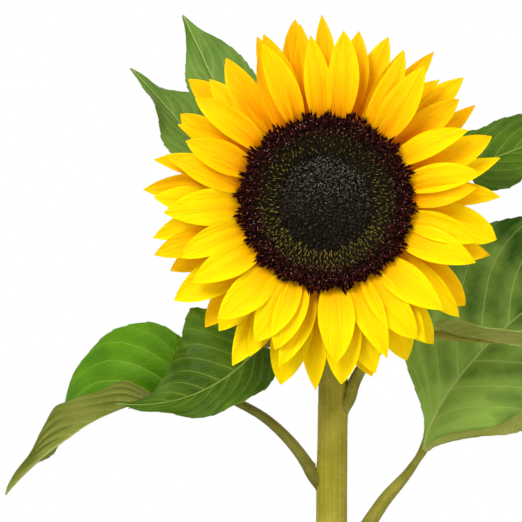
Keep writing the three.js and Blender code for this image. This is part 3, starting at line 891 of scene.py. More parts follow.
# %% [markdown]
# ## The stem
# A sunflower's stem is ribbed, swells a little under each stalk and flares at the
# foot. Carving ribs in a sculpting tool would be slow to change. Here each rib is
# a cosine of the angle, added to the radius, with a few broad furrows under them.

# %% Stem
RIBS, RIB_DEPTH = 17, 0.16
FURROWS, FURROW_DEPTH = 7, 0.10
STEM_TWIST = 0.0012
FLARE, FLARE_HEIGHT = 3.6, 16
KNOT, KNOT_REACH = 0.7, 7
COURSE_STEP = 0.004


def ring_frame(course, f):
    before, after = (along_course(course, held(f + step)) for step in (-COURSE_STEP, COURSE_STEP))
    along = np.where(column(f < 0.5 * COURSE_STEP), np.array([0, 0, 1.0]), unit(after - before))
    across = unit(np.array([1.0, 0, 0]) - along * along[:, :1])
    return across, np.cross(along, across)


def stem_surface(f, angle):
    """Points of the stem's skin, their heights and their radii."""
    centre = along_course(stem_course, f)
    z = centre[:, 2]
    radius = stem_radius(z) + FLARE * np.exp(-z / FLARE_HEIGHT) * (1 + 0.2 * np.cos(5 * angle))
    for rule in LEAVES:
        near = np.exp(-((z - rule["z"]) / KNOT_REACH) ** 2)
        facing = np.maximum(0, np.cos(angle - math.radians(rule["turn"])))
        radius = radius + KNOT * near * facing
    twist = angle + STEM_TWIST * z
    radius = radius + RIB_DEPTH * np.cos(RIBS * twist)
    radius = radius + FURROW_DEPTH * np.cos(FURROWS * twist + 0.02 * z) - FURROW_DEPTH
    across, behind = ring_frame(stem_course, f)
    return around(centre, across, behind, angle, radius), z, radius


rod, f, angle = rod_blank("stem_main", 96, 300)
points, z, radius = stem_surface(f, angle)
finish_rod(rod, points, turned(angle, radius, z), stem_skin)
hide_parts("stem")
print("stem faces:", len(rod.data.polygons))

# %% [markdown]
# ## The leaf stalks
# A stalk has a swollen foot on the stem, a channel on top, and runs on under the
# blade as its midrib. If the rod stopped at the blade, its cut end would show. So
# its course goes on along the blade, and is smoothed where the two meet.

# %% Stalk course
TAIL = 0.34
FOOT_REACH = 0.12
EASING_PASSES = 60


def limb_course(rule, count=220):
    """The rod's course, and how far along it each point lies, with 1 at the stalk's end."""
    stalk, blade = stalk_course(rule), blade_course(rule)
    whole = np.vstack([stalk, blade[: int(TAIL * len(blade))]])
    steps = np.linalg.norm(np.diff(whole, axis=0), axis=1)
    length = np.concatenate([[0], np.cumsum(steps)])
    at = np.linspace(0, length[-1], count)
    course = read_course(at, length, whole)
    for _ in range(EASING_PASSES):
        course[1:-1] = (course[:-2] + 2 * course[1:-1] + course[2:]) / 4
    return course, at / rule["stalk"]


def limb_frame(rule, s):
    """Right and up of the rod: level along the stalk, then turning into the blade's."""
    g = held((s - 1) * rule["stalk"] / rule["blade"])
    on_stalk = np.minimum(s, 1)
    heading = rule["turn"] + rule["swing"] * on_stalk
    slope = lerp(*rule["rise"], on_stalk) * smooth(s / FOOT_REACH)
    turning = column(smooth((s - 0.55) / 0.45))
    pairs = zip(ways(heading, slope, 0)[1:], blade_ways(rule, g)[1:])
    return [unit(lerp(plain, banked, turning)) for plain, banked in pairs]


print("the stalks run on under", TAIL, "of the blade")

# %% [markdown]
# The rod's first rings lie inside the stem. Along the blade it thins out like a
# midrib and sinks just under the surface, and the channel on top runs out.

# %% Stalk surface
FULL_BLADE = 190
BURIED, BURIED_DEPTH = 0.03, 80
CHANNEL, CHANNEL_WIDTH = 0.2, 0.55


def leaf_size(rule):
    return rule["blade"] / FULL_BLADE


def stalk_radius(rule, f):
    size = leaf_size(rule)
    swollen = 1.4 * np.exp(-f * 14)
    return (lerp(3.3 + 0.9 * size, 2.0 + 0.8 * size, smooth(f)) + swollen) * rule["stout"]


def stalk_surface(rule, f, angle):
    """Points of a stalk's skin, with their way along it, their radii and its middle."""
    course, reach = limb_course(rule)
    s = held(f * (1 + BURIED) - BURIED) * reach[-1]
    tail = held((s - 1) / (reach[-1] - 1))
    notch = np.exp(-((angle - math.pi / 2) / CHANNEL_WIDTH) ** 2) * (1 - tail)
    channel = 1 - CHANNEL / rule["stout"] ** 2 * notch
    ridged = 1 + 0.035 * np.cos(9 * angle + rule["z"])
    radius = stalk_radius(rule, np.minimum(s, 1)) * channel * ridged * (1 - 0.93 * tail ** 0.55)
    out = ways(rule["turn"], 0, 0)[0]
    centre = along_course(course, s / reach[-1]) - out * column(held(BURIED - f) * BURIED_DEPTH)
    right, up = limb_frame(rule, s)
    sink = (radius + 1.5 * smooth(tail / 0.2)) * smooth((s - 0.5) / 0.54)
    centre = centre - up * column(sink)
    tall = lerp(1.3, 0.95, smooth(s / FOOT_REACH))
    return around(centre, right, up, angle, radius, tall), s, radius, centre


print("stalk radii of the largest leaf:", stalk_radius(LEAVES[0], np.array([0, 1])).round(1))

# %% [markdown]
# All stalks come from the same two functions. The lower ones are farther from the
# eye, so they get fewer rings.

# %% Stalks
for rule in LEAVES:
    sides, cuts = (28, 110) if rule["fine"] else (20, 56)
    rod, f, angle = rod_blank("stalk_" + rule["name"], sides, cuts)
    points, s, radius, _ = stalk_surface(rule, f, angle)
    straight = turned(angle, radius, s * rule["stalk"] + rule["z"])
    finish_rod(rod, points, straight, STALK_SKINS[rule["limb"]])
    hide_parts("petiole_" + rule["name"])
print("stalks:", len(LEAVES))

# %% [markdown]
# ## Leaf blades
# A sunflower leaf is a broad, pointed, toothed blade that puckers between its side
# veins. A flat grid is the blank, with one side as the way along the midrib (g,
# from 0 to 1) and the other as the way across (q, from -1 to 1). Cloth simulation
# could drape it, but the rule gives the same leaf each time and keeps it in its
# solid's reach. In its cross section each half rises by its cup, bends by its curl
# and, where it has a hem, rolls over and shows the paler under side.

# %% Blade section
SECTION_STEPS = 96
ROLL_OVER, ROLL_WIDTH = 165, 2.5


def running_sum(values):
    return np.hstack([np.zeros((len(values), 1)), np.cumsum(values, 1)])


def blade_section(s, cup, curl, width, hem):
    """How far across and up a point of the half-blade lies in mm, and the slope there."""
    t = np.linspace(0, 1, SECTION_STEPS + 1)
    arc = t * (width + hem)[:, None]
    over = np.radians(ROLL_OVER) * smooth((arc - width[:, None]) / ROLL_WIDTH)
    slope = cup[:, None] + curl[:, None] * t + over
    middle, steps = (slope[:, 1:] + slope[:, :-1]) / 2, np.diff(arc, axis=1)
    x, y = running_sum(np.cos(middle) * steps), running_sum(np.sin(middle) * steps)
    low = np.minimum((s * SECTION_STEPS).astype(int), SECTION_STEPS - 1)
    rows, part = np.arange(len(s)), s * SECTION_STEPS - low
    return tuple(lerp(values[rows, low], values[rows, low + 1], part) for values in (x, y, slope))


flat = blade_section(np.ones(1), np.zeros(1), np.zeros(1), np.full(1, 40.0), np.zeros(1))
print("a flat half of 40 mm reaches", flat[0][0].round(1), "mm across")

# %% [markdown]
# The outline comes next. The two halves of a turned leaf can have outlines of
# their own, a waist narrows the near half at its base, and a point draws the tip
# out. One leaf has its near margin lifted over part of its length, so that it
# shows its under side there.

# %% Blade outline
POINT_FROM, POINT_REACH = 0.68, 0.26
WAIST_FROM, WAIST_LEAST = 0.03, 0.08


def blade_width(rule, g, side):
    """The outline's share at g, and the half-width in mm."""
    near = leaf_outline(g, rule.get("near", rule["shape"]))
    form = np.where(side == 0, near, leaf_outline(g, rule["shape"]))
    form = form * (1 - rule["point"] * smooth((g - POINT_FROM) / POINT_REACH))
    if "waist" in rule:
        opening = smooth((g - WAIST_FROM) / (rule["waist"] - WAIST_FROM))
        form = form * np.where(side == 0, lerp(WAIST_LEAST, 1, opening), 1)
    return form, np.maximum(rule["width"] * form, lerp(0.9, 0.3, g))


def blade_cup(rule, g, side):
    cup = np.radians(np.array(rule["cup"], float))[side] * lerp(1, rule["flatten"], g)
    if "lifted" in rule:
        angle, centre, spread = rule["lifted"]
        lifted = math.radians(angle) * np.exp(-((g - centre) / spread) ** 4)
        cup = cup + np.where(side == 0, lifted, 0)
    return cup


def blade_hem(rule, g, side):
    hem = np.where(side == 1, rule.get("hem", 0), 0)
    hem = hem * smooth((g + 0.04) / 0.14) * smooth((0.97 - g) / 0.2)
    return hem * (1 + 0.3 * np.sin(17 * g + 2.6))


widest = blade_width(LEAVES[0], np.linspace(0, 1, 50), 1)[1].max()
print("widest half of the largest leaf:", round(float(widest), 1), "mm")

# %% [markdown]
# Small uneven teeth cut the margin, which also waves up and down. Between the side
# veins the tissue swells, and along the midrib it is drawn in.

# %% Blade teeth and swelling
TOOTH_STEP = 6.0
WAVES, RIPPLES = 2.5, 7.3


def vein_phase(g, q):
    swept = g - VEIN_SWEEP * np.abs(q) - VEIN_BEND * q * q + np.sign(q) * VEIN_STEP * VEIN_OFFSET
    return swept / VEIN_STEP


def toothed(rule, g, s, side, width):
    teeth = round(rule["blade"] / TOOTH_STEP)
    t = g * teeth + 0.35 * side + 0.25 * np.sin(g * 19 + rule["z"] + 7 * side)
    saw = (t - np.floor(t)) ** 1.3 - 0.45
    return 1 + np.clip(saw / width, -0.2, 0.2) * s ** 6 * held(8 * g) * held(3 * (0.95 - g))


def ruffled(rule, g, s, side):
    wave = np.sin(2 * math.pi * (WAVES * g + 0.3 * side) + rule["z"])
    ripple = np.sin(2 * math.pi * RIPPLES * g + 1.7 * side + rule["z"])
    slow = 3 * s * s * wave * held(6 * g) * held(4 * (1 - g))
    return rule["ruffle"] * (slow + 0.9 * s ** 3 * ripple * held(8 * g) * (1 - g))


def puckered(g, q, width):
    s, phase = np.abs(q), vein_phase(g, q)
    swell = np.abs(np.sin(math.pi * phase)) ** 0.9 * held(s * 4) * (1 - s ** 4)
    swell = swell * held(6 * g) * held(5 * (1 - g)) * np.clip(width / 26 - 0.12, 0, 1.2)
    return 1.1 * swell - 0.9 * np.exp(-(s * width / 1.8) ** 2) * held(5 * g)


print("teeth on the largest leaf:", 2 * round(LEAVES[0]["blade"] / TOOTH_STEP))

# %% [markdown]
# Course, section, teeth and swelling come together in one function, which puts
# each point of the grid in its place and tells which way the upper side faces.

# %% Blade surface
def blade_surface(rule, g, q):
    p = along_course(blade_course(rule), g)
    along, right, up = blade_ways(rule, g)
    side, s, way = (q > 0).astype(int), np.abs(q), np.sign(q)
    form, width = blade_width(rule, g, side)
    reach = width * np.array(rule["sides"], float)[side]
    curl = np.radians(np.array(rule["curl"], float))[side]
    x, y, slope = blade_section(s, blade_cup(rule, g, side), curl, reach, blade_hem(rule, g, side))
    x = way * x * toothed(rule, g, s, side, width)
    points = p + right * column(x) + up * column(y + ruffled(rule, g, s, side))
    points = points - along * column(rule["lobe"] * rule["blade"] * s * s * (1 - g) ** 6 * form)
    face = up * column(np.cos(slope)) - right * column(way * np.sin(slope))
    return points + face * column(puckered(g, q, width)), face, reach


tip = blade_surface(LEAVES[0], np.ones(1), np.zeros(1))[0][0]
print("tip of the largest leaf:", tip.round(), "mm")

# %% [markdown]
# Solidify gives each blade its thickness and, through its material offset, an
# under side with a finish of its own. The midrib and side veins are then raised on
# that side alone, as they are on a real leaf.

# %% Blades
LEAF_THICK = 0.45


def under_ribs(rule, g, q, width):
    size = leaf_size(rule)
    midrib = (0.3 + 1.5 * size * (1 - g)) * np.exp(-(np.abs(q) * width / (0.9 + 0.8 * size)) ** 2)
    phase = vein_phase(g, q)
    near = 0.5 - np.abs(phase - np.floor(phase) - 0.5)
    off_mm = near * VEIN_STEP * rule["blade"] / VEIN_SLANT
    side_vein = 0.45 * np.exp(-(off_mm / 0.9) ** 2) * (1 - 0.6 * np.abs(q))
    return np.maximum(midrib, side_vein * smooth((width - NARROW) / (BROAD - NARROW)))


def make_blade(rule, steps, across):
    deselect()
    bpy.ops.mesh.primitive_grid_add(x_subdivisions=steps, y_subdivisions=across, size=1)
    blade = bpy.context.object
    blade.name = "leaf_" + rule["name"]
    blade.data.name = blade.name
    flat = points_of(blade)
    g = flat[:, 0] + 0.5
    q = -np.sign(flat[:, 1]) * (1 - (1 - np.abs(2 * flat[:, 1])) ** 1.25)
    points, face, width = blade_surface(rule, g, q)
    write_points(blade, points)
    write_attribute(blade, "blade", np.stack([g, q, width], -1))
    blade.data.materials.append(LEAF_SKINS[rule["skin"]])
    blade.data.materials.append(UNDER_SKINS[rule["under"]])
    skin = blade.modifiers.new("under_side", "SOLIDIFY")
    skin.thickness = LEAF_THICK * MM
    skin.offset = -1
    skin.material_offset = 1
    skin.material_offset_rim = 1
    apply_all(blade)
    shell = points_of(blade) / MM
    shell[len(g):] -= face * column(under_ribs(rule, g, q, width))
    write_points(blade, shell)
    smooth_shade(blade, SHEET_ANGLE)
    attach(blade, "root")
    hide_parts("blade_" + rule["name"])
    return len(blade.data.polygons)


FINE_GRID, PLAIN_GRID = (200, 48), (120, 32)
faces = [make_blade(rule, *(FINE_GRID if rule["fine"] else PLAIN_GRID)) for rule in LEAVES]
print("blade faces:", sum(faces))

# %% [markdown]
# ## Many copies as one mesh
# The flower has dozens of petals, more than a thousand florets and thousands of
# hairs. Each kind is modelled once as a small blank. Linked copies would be
# lighter, but an export drops them. So the points of every copy are worked out as
# arrays and become one mesh of each kind.

# %% Joined copies
def read_blank(piece):
    """The points and faces of a finished blank, which is then removed."""
    points = points_of(piece)
    faces = [tuple(polygon.vertices) for polygon in piece.data.polygons]
    bpy.data.objects.remove(piece)
    return points, faces


def joined_copies(name, faces, copies, layers, materials, deal=None):
    count = len(copies[0])
    all_faces = [tuple(v + count * k for v in face) for k in range(len(copies)) for face in faces]
    mesh = bpy.data.meshes.new(name)
    mesh.from_pydata((np.concatenate(copies) * MM).tolist(), [], all_faces)
    mesh.update()
    piece = bpy.data.objects.new(name, mesh)
    scene.collection.objects.link(piece)
    for label, values in layers.items():
        write_attribute(piece, label, np.concatenate(values))
    for material in materials:
        mesh.materials.append(material)
    if deal is not None:
        mesh.polygons.foreach_set("material_index", np.repeat(deal, len(faces)))
    turn_outward(piece)
    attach(piece, "root")
    return piece


print("meshes before the flower:", len(bpy.data.meshes))

# %% [markdown]
# ## The petals' rule
# Ray petals stand in three whorls. Each petal is a pleated tongue: narrow at its
# base, widest past its middle and quickly pointed. It leans forward where it
# leaves the head and bends back toward its tip. A curve drawn by hand for each
# would never end, so each whorl is a row of values.

# %% Head directions and whorls
HEAD = np.array([-1.5, -62.0, 640.0])
HEAD_TILT = math.radians(4)
head_front = np.array([0, -math.cos(HEAD_TILT), math.sin(HEAD_TILT)])
head_right = np.array([1.0, 0, 0])
head_up = np.array([0, math.sin(HEAD_TILT), math.cos(HEAD_TILT)])

WHORLS = [
    dict(node="rays_front", count=24, start=2, radius=44, depth=-1, length=50, width=9.8,
         pitch=(38, -12), seed=1),
    dict(node="rays_middle", count=24, start=4, radius=45, depth=3, length=55, width=9.6,
         pitch=(20, -16), seed=2),
    dict(node="rays_back", count=24, start=11, radius=46, depth=6.5, length=57, width=9.4,
         pitch=(4, -16), seed=3),
]


def petal_outline(u, tip):
    return (0.42 + 0.58 * math.sin(math.pi / 2 * min(1, u / 0.6))) * (1 - u ** tip) ** 0.95


def bract_outline(u, tip):
    return (1 - u ** 1.6) * (0.8 + 0.2 * math.sin(math.pi * u))


print("petals:", sum(row["count"] for row in WHORLS))

# %% [markdown]
# Every petal has its own angle, length, width, bend and twist, so that no two look
# the same. Petals at the sides are shorter and those at the bottom broader. Loose
# says how much of the unevenness a row gets: bracts are stiffer than petals.

# %% A petal's own values
def ray_angle(row, i, loose=1):
    stray = 0.34 * wobble(row["seed"] * 100 + i, 1) * loose
    return math.radians(row["start"] + 360 / row["count"] * (i + stray))


def ray_values(row, i, loose):
    seed, angle = row["seed"] * 100 + i, ray_angle(row, i, loose)
    longer = 0.99 + 0.08 * wobble(seed, 2) - 0.07 * math.cos(angle) ** 2 + 0.02 * math.sin(angle)
    return dict(
        seed=seed, angle=angle, length=row["length"] * longer,
        width=row["width"] * (1 + 0.18 * wobble(seed, 3) - 0.12 * math.sin(angle)),
        pitch=(row["pitch"][0] + 6 * wobble(seed, 4) * loose,
               row["pitch"][1] + 12 * wobble(seed, 5) * loose),
        yaw=math.radians(8 * wobble(seed, 6)),
        twist=math.radians(14 * wobble(seed, 7) * loose),
        tip=3.6 + 0.9 * wobble(seed, 8),
        folds=2.3 + 0.5 * wobble(seed, 9), shift=0.9 * wobble(seed, 10),
        cupped=0.26 + 0.2 * wobble(seed, 13) * loose,
        rolled=0.16 * wobble(seed, 14) * loose)


first_petal = ray_values(WHORLS[0], 0, 1)
print("first petal:", round(float(first_petal["length"]), 1), "mm long")

# %% [markdown]
# A petal is walked from base to tip, and each row of its blank is laid across the
# way at that point: cupped, pleated, with a wavy edge, and half its thickness up
# or down.

# %% Petal surface
LEAST_HALF = 0.25


def ray_rise(own, u, q, half, pleat):
    """How high a row of points stands over the petal's flat, in mm."""
    fold = pleat * np.cos(math.pi * own["folds"] * q + own["shift"])
    fold = fold * math.sin(math.pi * min(1, 0.12 + u * 0.88)) * (1 - 0.3 * np.abs(q))
    edge = 0.8 * pleat * np.abs(q) ** 3 * math.sin(8 * u + own["seed"])
    return half * (own["cupped"] * q * q + own["rolled"] * q ** 3) + fold + edge


def ray_surface(row, i, blank, outline, loose, pleat, thickness):
    """Places one petal or bract: the blank's x runs along it, y across, z is the side."""
    own = ray_values(row, i, loose)
    sine, cosine = math.sin(own["angle"]), math.cos(own["angle"])
    outward, sideways = head_right * cosine + head_up * sine, head_up * cosine - head_right * sine
    p, before = HEAD + outward * row["radius"] - head_front * row["depth"], 0
    points, straight = np.empty((len(blank), 3)), np.empty((len(blank), 3))
    for u in np.unique(np.round(blank[:, 0], 5)):
        pitch, turn = math.radians(lerp(*own["pitch"], u)), own["yaw"] * u * 2
        lean = own["twist"] * u
        along = (outward * math.cos(turn) + sideways * math.sin(turn)) * math.cos(pitch)
        along = along + head_front * math.sin(pitch)
        flat = sideways * math.cos(turn) - outward * math.sin(turn)
        upright = np.cross(along, flat)
        upright *= np.sign(upright @ head_front) / np.linalg.norm(upright)
        side = flat * math.cos(lean) + upright * math.sin(lean)
        up = upright * math.cos(lean) - flat * math.sin(lean)
        p, before = p + along * own["length"] * (u - before), u
        here = np.abs(blank[:, 0] - u) < 1e-4
        q = blank[here, 1]
        half = max(own["width"] * outline(min(u, 1), own["tip"]), LEAST_HALF)
        rise = ray_rise(own, u, q, half, pleat) + thickness / 2 * np.sign(blank[here, 2])
        points[here] = p + side * column(q * half) + up * column(rise)
        lane = 37 * wobble(own["seed"], 11)
        straight[here] = np.stack([q * half, 0 * q + lane, 0 * q + u * own["length"]], -1)
    return points, straight


print("outline at a petal's middle:", round(petal_outline(0.5, first_petal["tip"]), 2))

# %% [markdown]
# The petal's blank is a grid given two sides by Solidify. Its sides are told apart
# by height, its length runs from 0 to 1 and its width from -1 to 1. The finishes
# are dealt out by how warm a petal is: warmer toward the top of the flower, which
# is painted shade, and in the whorls farther back.

# %% Petals
GOLDEN_FROM, AMBER_FROM = 0.42, 0.85
PETAL_PLEAT, PETAL_THICK = 0.5, 0.35


def tongue_blank(rows, cols):
    deselect()
    bpy.ops.mesh.primitive_grid_add(x_subdivisions=rows, y_subdivisions=cols, size=2)
    tongue = bpy.context.object
    sides = tongue.modifiers.new("sides", "SOLIDIFY")
    sides.thickness = 0.1
    sides.offset = 0
    apply_all(tongue)
    points, faces = read_blank(tongue)
    points[:, 0] = (points[:, 0] + 1) / 2
    return points, faces


def petal_finish(row, i):
    # Painted shade: petals higher on the flower get a warmer, darker finish; the jitter is each
    # petal's own tone.
    warm = 0.32 + 0.42 * math.sin(ray_angle(row, i)) + 0.25 * wobble(row["seed"] * 100 + i, 12)
    warm = warm + 0.08 * row["seed"]
    return int(warm > GOLDEN_FROM) + int(warm > AMBER_FROM)


petal_blank, petal_faces = tongue_blank(32, 14)
for row in WHORLS:
    copies, straights = zip(*(
        ray_surface(row, i, petal_blank, petal_outline, 1, PETAL_PLEAT, PETAL_THICK)
        for i in range(row["count"])))
    deal = [petal_finish(row, i) for i in range(row["count"])]
    layers = {"petal": [petal_blank] * len(copies), "straight": straights}
    name = row["node"].replace("rays", "petals")
    whorl = joined_copies(name, petal_faces, copies, layers, PETAL_SKINS, deal)
    smooth_shade(whorl, SHEET_ANGLE)
    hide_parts(row["node"])
    print(name, "faces:", len(whorl.data.polygons), "warmth", [deal.count(k) for k in range(3)])

# %% [markdown]
# ## Bracts
# Behind the petals two rows of pointed green bracts hold the head. They are made
# from the same kind of blank as the petals, shorter, thicker and drawn out to a
# point.

# %% Bracts
BRACT_PLEAT, BRACT_THICK, BRACT_LOOSE = 0.35, 0.8, 0.7
BRACT_ROWS = [
    dict(count=15, start=3, radius=42, depth=10.4, length=33, width=8.4, pitch=(-6, -30), seed=5),
    dict(count=13, start=14, radius=31, depth=13.6, length=30, width=8.6, pitch=(-16, -48), seed=6),
]

bract_blank, bract_faces = tongue_blank(18, 10)
copies, straights = zip(*(
    ray_surface(row, i, bract_blank, bract_outline, BRACT_LOOSE, BRACT_PLEAT, BRACT_THICK)
    for row in BRACT_ROWS for i in range(row["count"])))
bracts = joined_copies("bract_rows", bract_faces, copies, {"straight": straights}, [bract_green])
smooth_shade(bracts, SHEET_ANGLE)
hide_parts("bracts")
print("bract faces:", len(bracts.data.polygons))

# %% [markdown]
# ## Receptacle and cup
# The head itself is a thick green plate that tapers back into the neck of the
# stem, with a shallow cup from which the bracts grow. Both are turned shapes: a
# rod blank whose rings follow a profile of radius against depth.

# %% Turned pieces of the head
RECEPTACLE = [(0.01, -18.2), (8.4, -18.2), (10.5, -17.2), (15, -15.3), (30, -12.4),
              (43.2, -9.0), (43.2, 1.0), (40, 1.6), (0.01, 1.8)]
CUP = [(15.5, -15.3), (17, -16.9), (28, -14.6), (40, -11.8), (45.2, -10.4), (45.8, -8.6),
       (43.6, -8.5)]


def head_place(angle, radius, front):
    out = head_right * column(np.cos(angle)) + head_up * column(np.sin(angle))
    return HEAD + out * column(radius) + head_front * column(front)


def turned_piece(name, profile, cuts, material, uneven=0.0):
    rod, f, angle = rod_blank(name, 72, cuts)
    radii, fronts = zip(*profile)
    at = np.linspace(0, 1, len(profile))
    radius = np.interp(f, at, radii)
    front = np.interp(f, at, fronts) + uneven * np.sin(9 * angle) * np.minimum(1, radius / 20)
    write_points(rod, head_place(angle, radius, front))
    write_attribute(rod, "straight", turned(angle, radius, radius))
    write_attribute(rod, "floret", np.stack([0 * f, 0 * f + 0.2, 0 * f], -1))
    rod.data.materials.append(material)
    turn_outward(rod)
    smooth_shade(rod)
    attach(rod, "root")
    return rod


receptacle = turned_piece("receptacle_body", RECEPTACLE, 63, pith_green, 0.15)
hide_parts("receptacle")
cup = turned_piece("bract_cup", CUP, 35, bract_green, 0.2)
print("receptacle faces:", len(receptacle.data.polygons), "cup faces:", len(cup.data.polygons))

# %% [markdown]
# ## The disc's bed
# The florets stand on a dark bed: domed in the middle, hollow round that, and high
# at its rim. Between the florets only its dark colour shows, so it is turned like
# the plate under it and left smooth.

# %% Disc bed
DISC_BED = [(0.01, 2.0), (43.5, 2.2), (46.4, 4.4), (47.0, 6.2), (45.4, 8.4), (41.5, 9.8), (36, 9.2),
            (31, 7.2), (27, 5.4), (22, 6.0), (12, 7.6), (5, 8.2), (0.01, 8.2)]
bed = turned_piece("disc_bed", DISC_BED, 71, bud_charcoal)
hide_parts("disc_ring", "disc_center")
print("bed faces:", len(bed.data.polygons))

# %% [markdown]
# ## The disc's pattern
# Real heads pack their florets by the golden angle: each is turned by 137.5
# degrees from the last and sits a little farther out. A grid or plain rings would
# show at once as wrong. A floret's height and lean follow from how far out it
# stands, and the outermost reach farther in the gaps between two front petals.

# %% Floret places
FLORETS = 1290
SPACING = 1.365
GOLDEN = math.radians(137.50776)
HEIGHTS = [(0, 8.2), (5, 8.2), (12, 7.6), (22, 6), (27, 5.4), (31, 7.2), (36, 9.2), (42, 10.2),
           (46, 9.6), (49.5, 7.4)]
LEANS = [(0, 0), (15, 10), (24, -4), (29, -16), (34, -8), (41, 16), (45, 40), (49, 64)]


def disc_place(number):
    radius, angle = SPACING * np.sqrt(number + 0.5), (number + 0.5) * GOLDEN
    return radius, angle, np.interp(radius, *zip(*HEIGHTS)), np.interp(radius, *zip(*LEANS))


def between_petals(angle):
    """1 halfway between two front petals, 0 at a petal's middle."""
    front = [ray_angle(WHORLS[0], i) for i in range(WHORLS[0]["count"])]
    gaps = [abs((angle - petal + math.pi) % (2 * math.pi) - math.pi) for petal in front]
    return float(smooth(min(gaps) / 0.13))


every = np.arange(FLORETS)
reach = disc_place(every)[0]


def places(low, high, times=1):
    return np.concatenate([every[(reach > low) & (reach < high)]] * times)


print("disc reach:", round(float(reach[-1]), 1), "mm, places within 28 mm:", len(places(0, 28)))

# %% [markdown]
# ## Floret blanks
# Each kind of floret is turned from a small rod of a few rings, given as radius,
# height and star. A star value pulls every second side in and the others out,
# which makes the lobes of an open floret. A few dozen faces are enough, because
# each is only two millimetres wide.

# %% Floret blanks
def turned_blank(rings, sides):
    rod, f, angle = rod_blank("blank", sides, len(rings) - 2)
    rings = np.array(rings, float)
    radius, height, star = read_course(f, np.linspace(0, 1, len(rings)), rings).T
    lobes = star * np.cos(angle * sides / 2)
    return turned(angle, radius * (1 + lobes), height + lobes * 0.6), read_blank(rod)[1]


def add_blank(first, second):
    shifted = [tuple(v + len(first[0]) for v in face) for face in second[1]]
    return np.concatenate([first[0], second[0]]), first[1] + shifted


bud = turned_blank([(0.7, 0, 0), (1.0, 0.9, 0), (0.75, 1.8, 0.2), (0.2, 2.4, 0.3)], 6)
tube = turned_blank([(0.6, 0, 0), (0.6, 2.1, 0), (1.15, 3.0, 0.4), (0.45, 2.7, 0)], 10)
anthers = turned_blank([(0.36, 1.5, 0), (0.40, 3.9, 0), (0.14, 4.7, 0)], 5)
spike = turned_blank([(0.62, 0, 0), (0.58, 1.6, 0), (0.32, 2.9, 0), (0.04, 4.2, 0)], 4)
strand = turned_blank([(0.17, 0, 0), (0.15, 1.6, 0), (0.04, 2.9, 0)], 3)
chaff = turned_blank([(0.17, 0, 0), (0.20, 1.3, 0), (0.18, 2.6, 0), (0.05, 3.6, 0)], 4)
speck = turned_blank([(0.1, 0, 0), (0.34, 0.25, 0), (0.30, 0.6, 0), (0.08, 0.8, 0)], 5)
open_floret = add_blank(tube, anthers)
print("faces of an open floret:", len(open_floret[1]))

# %% [markdown]
# ## Setting the florets
# One function sets any blank on the disc, at the places of the pattern. It leans
# each copy outward by the rule, turns it about its own axis and varies its size,
# and it notes for each point how high it sits on its floret, for the finish.
# Rough is the unevenness of the lean in degrees and stray that of the place in
# millimetres. The last value makes the copies lighter toward the top of the disc,
# which is painted light, and darker there where it is below zero.

# %% Scatter
FRINGE_FROM, FRINGE_PUSH = 42, 0.55
ROOT_DEPTH = 0.6


def spun(points, angle):
    sine, cosine = math.sin(angle), math.cos(angle)
    return points[:, 0] * cosine - points[:, 1] * sine, points[:, 0] * sine + points[:, 1] * cosine


def scatter(name, blank, numbers, material, size=1.0, rough=12, bright=0.35, tips=0.3,
            lean_more=0, stray=0.0, lift=0.0, painted_top_light=0.0):
    points, faces = blank
    top = points[:, 2].max()
    copies, layers = [], []
    for k, n in enumerate(numbers):
        seed = n + 5000 * len(name) + 0.37 * k
        radius, angle, height, lean = disc_place(n)
        radius, angle = radius + stray * wobble(seed, 1), angle + stray / 40 * wobble(seed, 2)
        if radius > FRINGE_FROM:
            radius -= FRINGE_PUSH * (radius - FRINGE_FROM) * (1 - between_petals(angle))
        lean = math.radians(lean + lean_more + rough * wobble(seed, 3))
        out = head_right * math.cos(angle) + head_up * math.sin(angle)
        side = np.cross(head_front, out)
        axis = head_front * math.cos(lean) + out * math.sin(lean)
        axis = axis + side * math.radians(rough) * wobble(seed, 4)
        axis /= np.linalg.norm(axis)
        first = np.cross(side, axis)
        first /= np.linalg.norm(first)
        x, y = spun(points, 3 * wobble(seed, 5))
        grow = size * (1 + 0.16 * wobble(seed, 6))
        tall = points[:, 2] * grow * (1 + 0.2 * wobble(seed, 7))
        base = HEAD + out * radius + head_front * (height - ROOT_DEPTH + lift)
        copies.append(base + first * column(x * grow) + np.cross(axis, first) * column(y * grow)
                      + axis * column(tall))
        # Painted light: copies toward the top of the disc get a lighter colour and more of their
        # tip's colour.
        more = painted_top_light * math.sin(angle) * min(1, radius / 12)
        share = held(tips + more + 0.6 * wobble(seed, 8))
        shade = held(bright + more + 0.45 * wobble(seed, 9))
        layers.append(np.stack([points[:, 2] / top, 0 * x + shade, 0 * x + share], -1))
    piece = joined_copies(name, faces, copies, {"floret": layers}, [material])
    smooth_shade(piece, SMALL_ANGLE)
    print(name, "copies:", len(copies), "faces:", len(piece.data.polygons))
    return piece


print("florets are rooted", ROOT_DEPTH, "mm deep in the bed")

# %% [markdown]
# In the middle stand closed charcoal buds under grey down. Olive chaff ends make a
# ring round them. Outside that, open maroon florets crowd together, and the
# outermost lie over the petals' bases as a ragged fringe. Pale specks among them
# are pollen and stigma ends.

# %% Florets
RIM = 50

